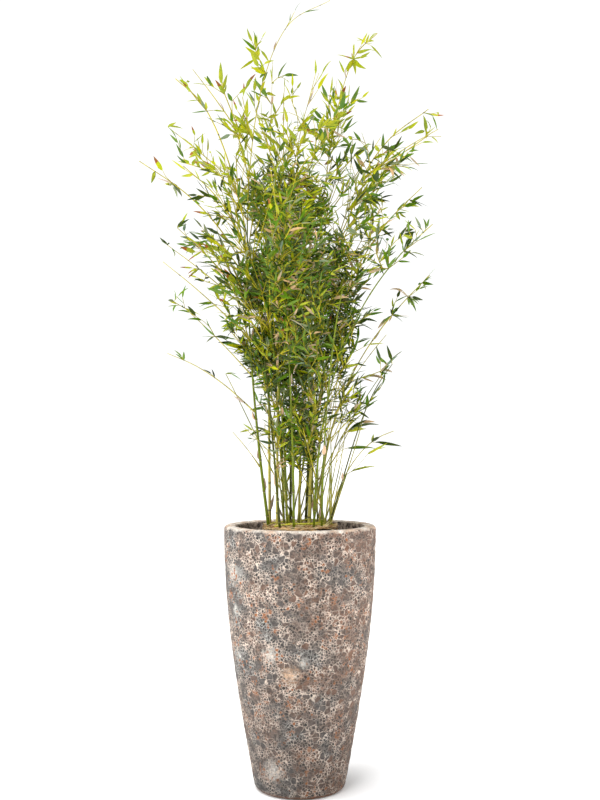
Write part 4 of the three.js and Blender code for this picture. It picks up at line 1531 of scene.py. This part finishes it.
class BAMBOO_OT_blades(bpy.types.Operator):
    """Build the leaf blades, each kind as one piece"""
    bl_idname = "bamboo.blades"
    bl_label = "Blades"

    def execute(self, context):
        leaf = context.scene.bamboo_leaf
        rows = sprays_of_blades()
        points = lay_blades(rows)
        scorched = blade_surface("Scorched blade tip", leaf.rust_tint, 0.6)
        tops = {"bright": leaf.bright_tint, "fresh": leaf.fresh_tint, "deep": leaf.deep_tint,
                "silver": leaf.silver_tint, "rust": leaf.bright_tint, "dry": leaf.dry_tint}
        for index, kind in enumerate(KINDS):
            is_dry = kind == "dry"
            top = blade_surface(f"Bamboo blade, {kind}", tops[kind], 0.75 if is_dry else 0.5)
            # The underside is duller and greyer, with a thin waxy bloom.
            grey = tops[kind] if is_dry else leaf.silver_tint
            mixed = [a * OWN_TINT + b * GREYED for a, b in zip(tops[kind], grey)]
            back = blade_surface(f"Bamboo blade, {kind}, underside", mixed, 0.8 if is_dry else 0.62)
            add_blades(f"blades_{kind}", [top, back, scorched], points[rows[:, KIND_COLUMN] == index],
                       tip_from=2 if kind == "rust" else None, replaced=MASS_NODES)
        return {"FINISHED"}


# How bright the white surround is to the camera, and as light.
SEEN_STRENGTH, LIT_STRENGTH = 1.1, 0.6
# The wide light high overhead: its strength, its spread in degrees and where it comes from.
KEY_STRENGTH, KEY_SPREAD, KEY_FROM = 3.1, 32, (-0.14, -0.06, 1)
# The soft lamps: name, place, aim and size in metres, and power in watts.
LAMPS = (("front", (-1.3, -3.0, 2.6), (0, 0, 1.2), (1.6, 1.6), 54),
         ("strip_left", (-2.4, -0.5, 1.1), (0, 0, 0.9), (1.0, 2.4), 34),
         ("strip_right", (2.4, -0.5, 1.1), (0, 0, 0.9), (1.0, 2.4), 32))


def facing(direction):
    """The turn that points a lamp's back along a direction."""
    return Vector(direction).to_track_quat("Z", "Y").to_euler()


class BAMBOO_OT_stage(bpy.types.Operator):
    """Set up the floor, the soft studio light and the camera"""
    bl_idname = "bamboo.stage"
    bl_label = "Stage"

    def execute(self, context):
        settings = context.scene.bamboo_stage
        scene = context.scene
        size = settings.floor_size
        mesh = bpy.data.meshes.new("floor")
        mesh.from_pydata([(-size, -size, 0), (size, -size, 0), (size, size, 0), (-size, size, 0)], [],
                         [(0, 1, 2, 3)])
        floor = bpy.data.objects.new("floor", mesh)
        scene.collection.objects.link(floor)
        # Matt white paper.
        paper, _, shader = new_material("White paper", 0.95)
        shader.inputs["Base Color"].default_value = rgba(settings.floor_tint)
        mesh.materials.append(paper)

        # A white surround: bright behind, and softer as light.
        world = bpy.data.worlds.new("Studio")
        scene.world = world
        world.use_nodes = True
        tree = world.node_tree
        tree.nodes.clear()
        seen = add(tree, "ShaderNodeBackground", {"Color": (1, 1, 1, 1), "Strength": SEEN_STRENGTH})
        lit = add(tree, "ShaderNodeBackground", {"Color": (1, 1, 1, 1), "Strength": LIT_STRENGTH})
        is_seen = add(tree, "ShaderNodeLightPath").outputs["Is Camera Ray"]
        which = add(tree, "ShaderNodeMixShader", {0: is_seen, 1: lit, 2: seen})
        add(tree, "ShaderNodeOutputWorld", {0: which})

        # A wide soft light high overhead, a soft one in front, and a strip low on each side.
        key = bpy.data.lights.new("key", "SUN")
        key.energy, key.angle = KEY_STRENGTH, np.radians(KEY_SPREAD)
        key_object = bpy.data.objects.new("key", key)
        key_object.rotation_euler = facing(KEY_FROM)
        scene.collection.objects.link(key_object)
        for name, place, aim, sides, power in LAMPS:
            lamp = bpy.data.lights.new(name, "AREA")
            lamp.shape, lamp.size, lamp.size_y, lamp.energy = "RECTANGLE", *sides, power
            holder = bpy.data.objects.new(name, lamp)
            holder.location = place
            holder.rotation_euler = facing(Vector(place) - Vector(aim))
            scene.collection.objects.link(holder)

        lens = bpy.data.cameras.new("camera")
        lens.lens, lens.sensor_width, lens.shift_y = settings.focal_length, 36, settings.rise
        lens.clip_end = 400
        camera = bpy.data.objects.new("camera", lens)
        camera.location = (0, -settings.distance, settings.eye_height)
        camera.rotation_euler = (np.pi / 2, 0, 0)
        scene.collection.objects.link(camera)
        scene.camera = camera
        scene.view_settings.view_transform = "Standard"
        return {"FINISHED"}


# ---- Panel and start ----

SETTINGS = {"bamboo_pot": PotSettings, "bamboo_ball": BallSettings, "bamboo_cane": CaneSettings,
            "bamboo_leaf": LeafSettings, "bamboo_stage": StageSettings}
OPERATORS = (BAMBOO_OT_stage, BAMBOO_OT_pot, BAMBOO_OT_granules, BAMBOO_OT_root_ball, BAMBOO_OT_canes,
             BAMBOO_OT_sheaths, BAMBOO_OT_twigs, BAMBOO_OT_blades)


class BAMBOO_PT_panel(bpy.types.Panel):
    """Lists the operators that build the plant"""
    bl_idname = "BAMBOO_PT_panel"
    bl_label = "Potted bamboo"
    bl_space_type = "VIEW_3D"
    bl_region_type = "UI"
    bl_category = "Bamboo"

    def draw(self, context):
        for operator in OPERATORS:
            self.layout.operator(operator.bl_idname)
        for name, group in SETTINGS.items():
            box = self.layout.box()
            for key in group.__annotations__:
                box.prop(getattr(context.scene, name), key)


def register():
    for group in (*SETTINGS.values(), *OPERATORS, BAMBOO_PT_panel):
        bpy.utils.register_class(group)
    for name, group in SETTINGS.items():
        setattr(bpy.types.Scene, name, PointerProperty(type=group))


def unregister():
    for name in SETTINGS:
        delattr(bpy.types.Scene, name)
    for group in (BAMBOO_PT_panel, *OPERATORS, *SETTINGS.values()):
        bpy.utils.unregister_class(group)


def main():
    register()
    for operator in OPERATORS:
        getattr(bpy.ops.bamboo, operator.bl_idname.split(".")[1])()


if __name__ == "__main__":
    main()
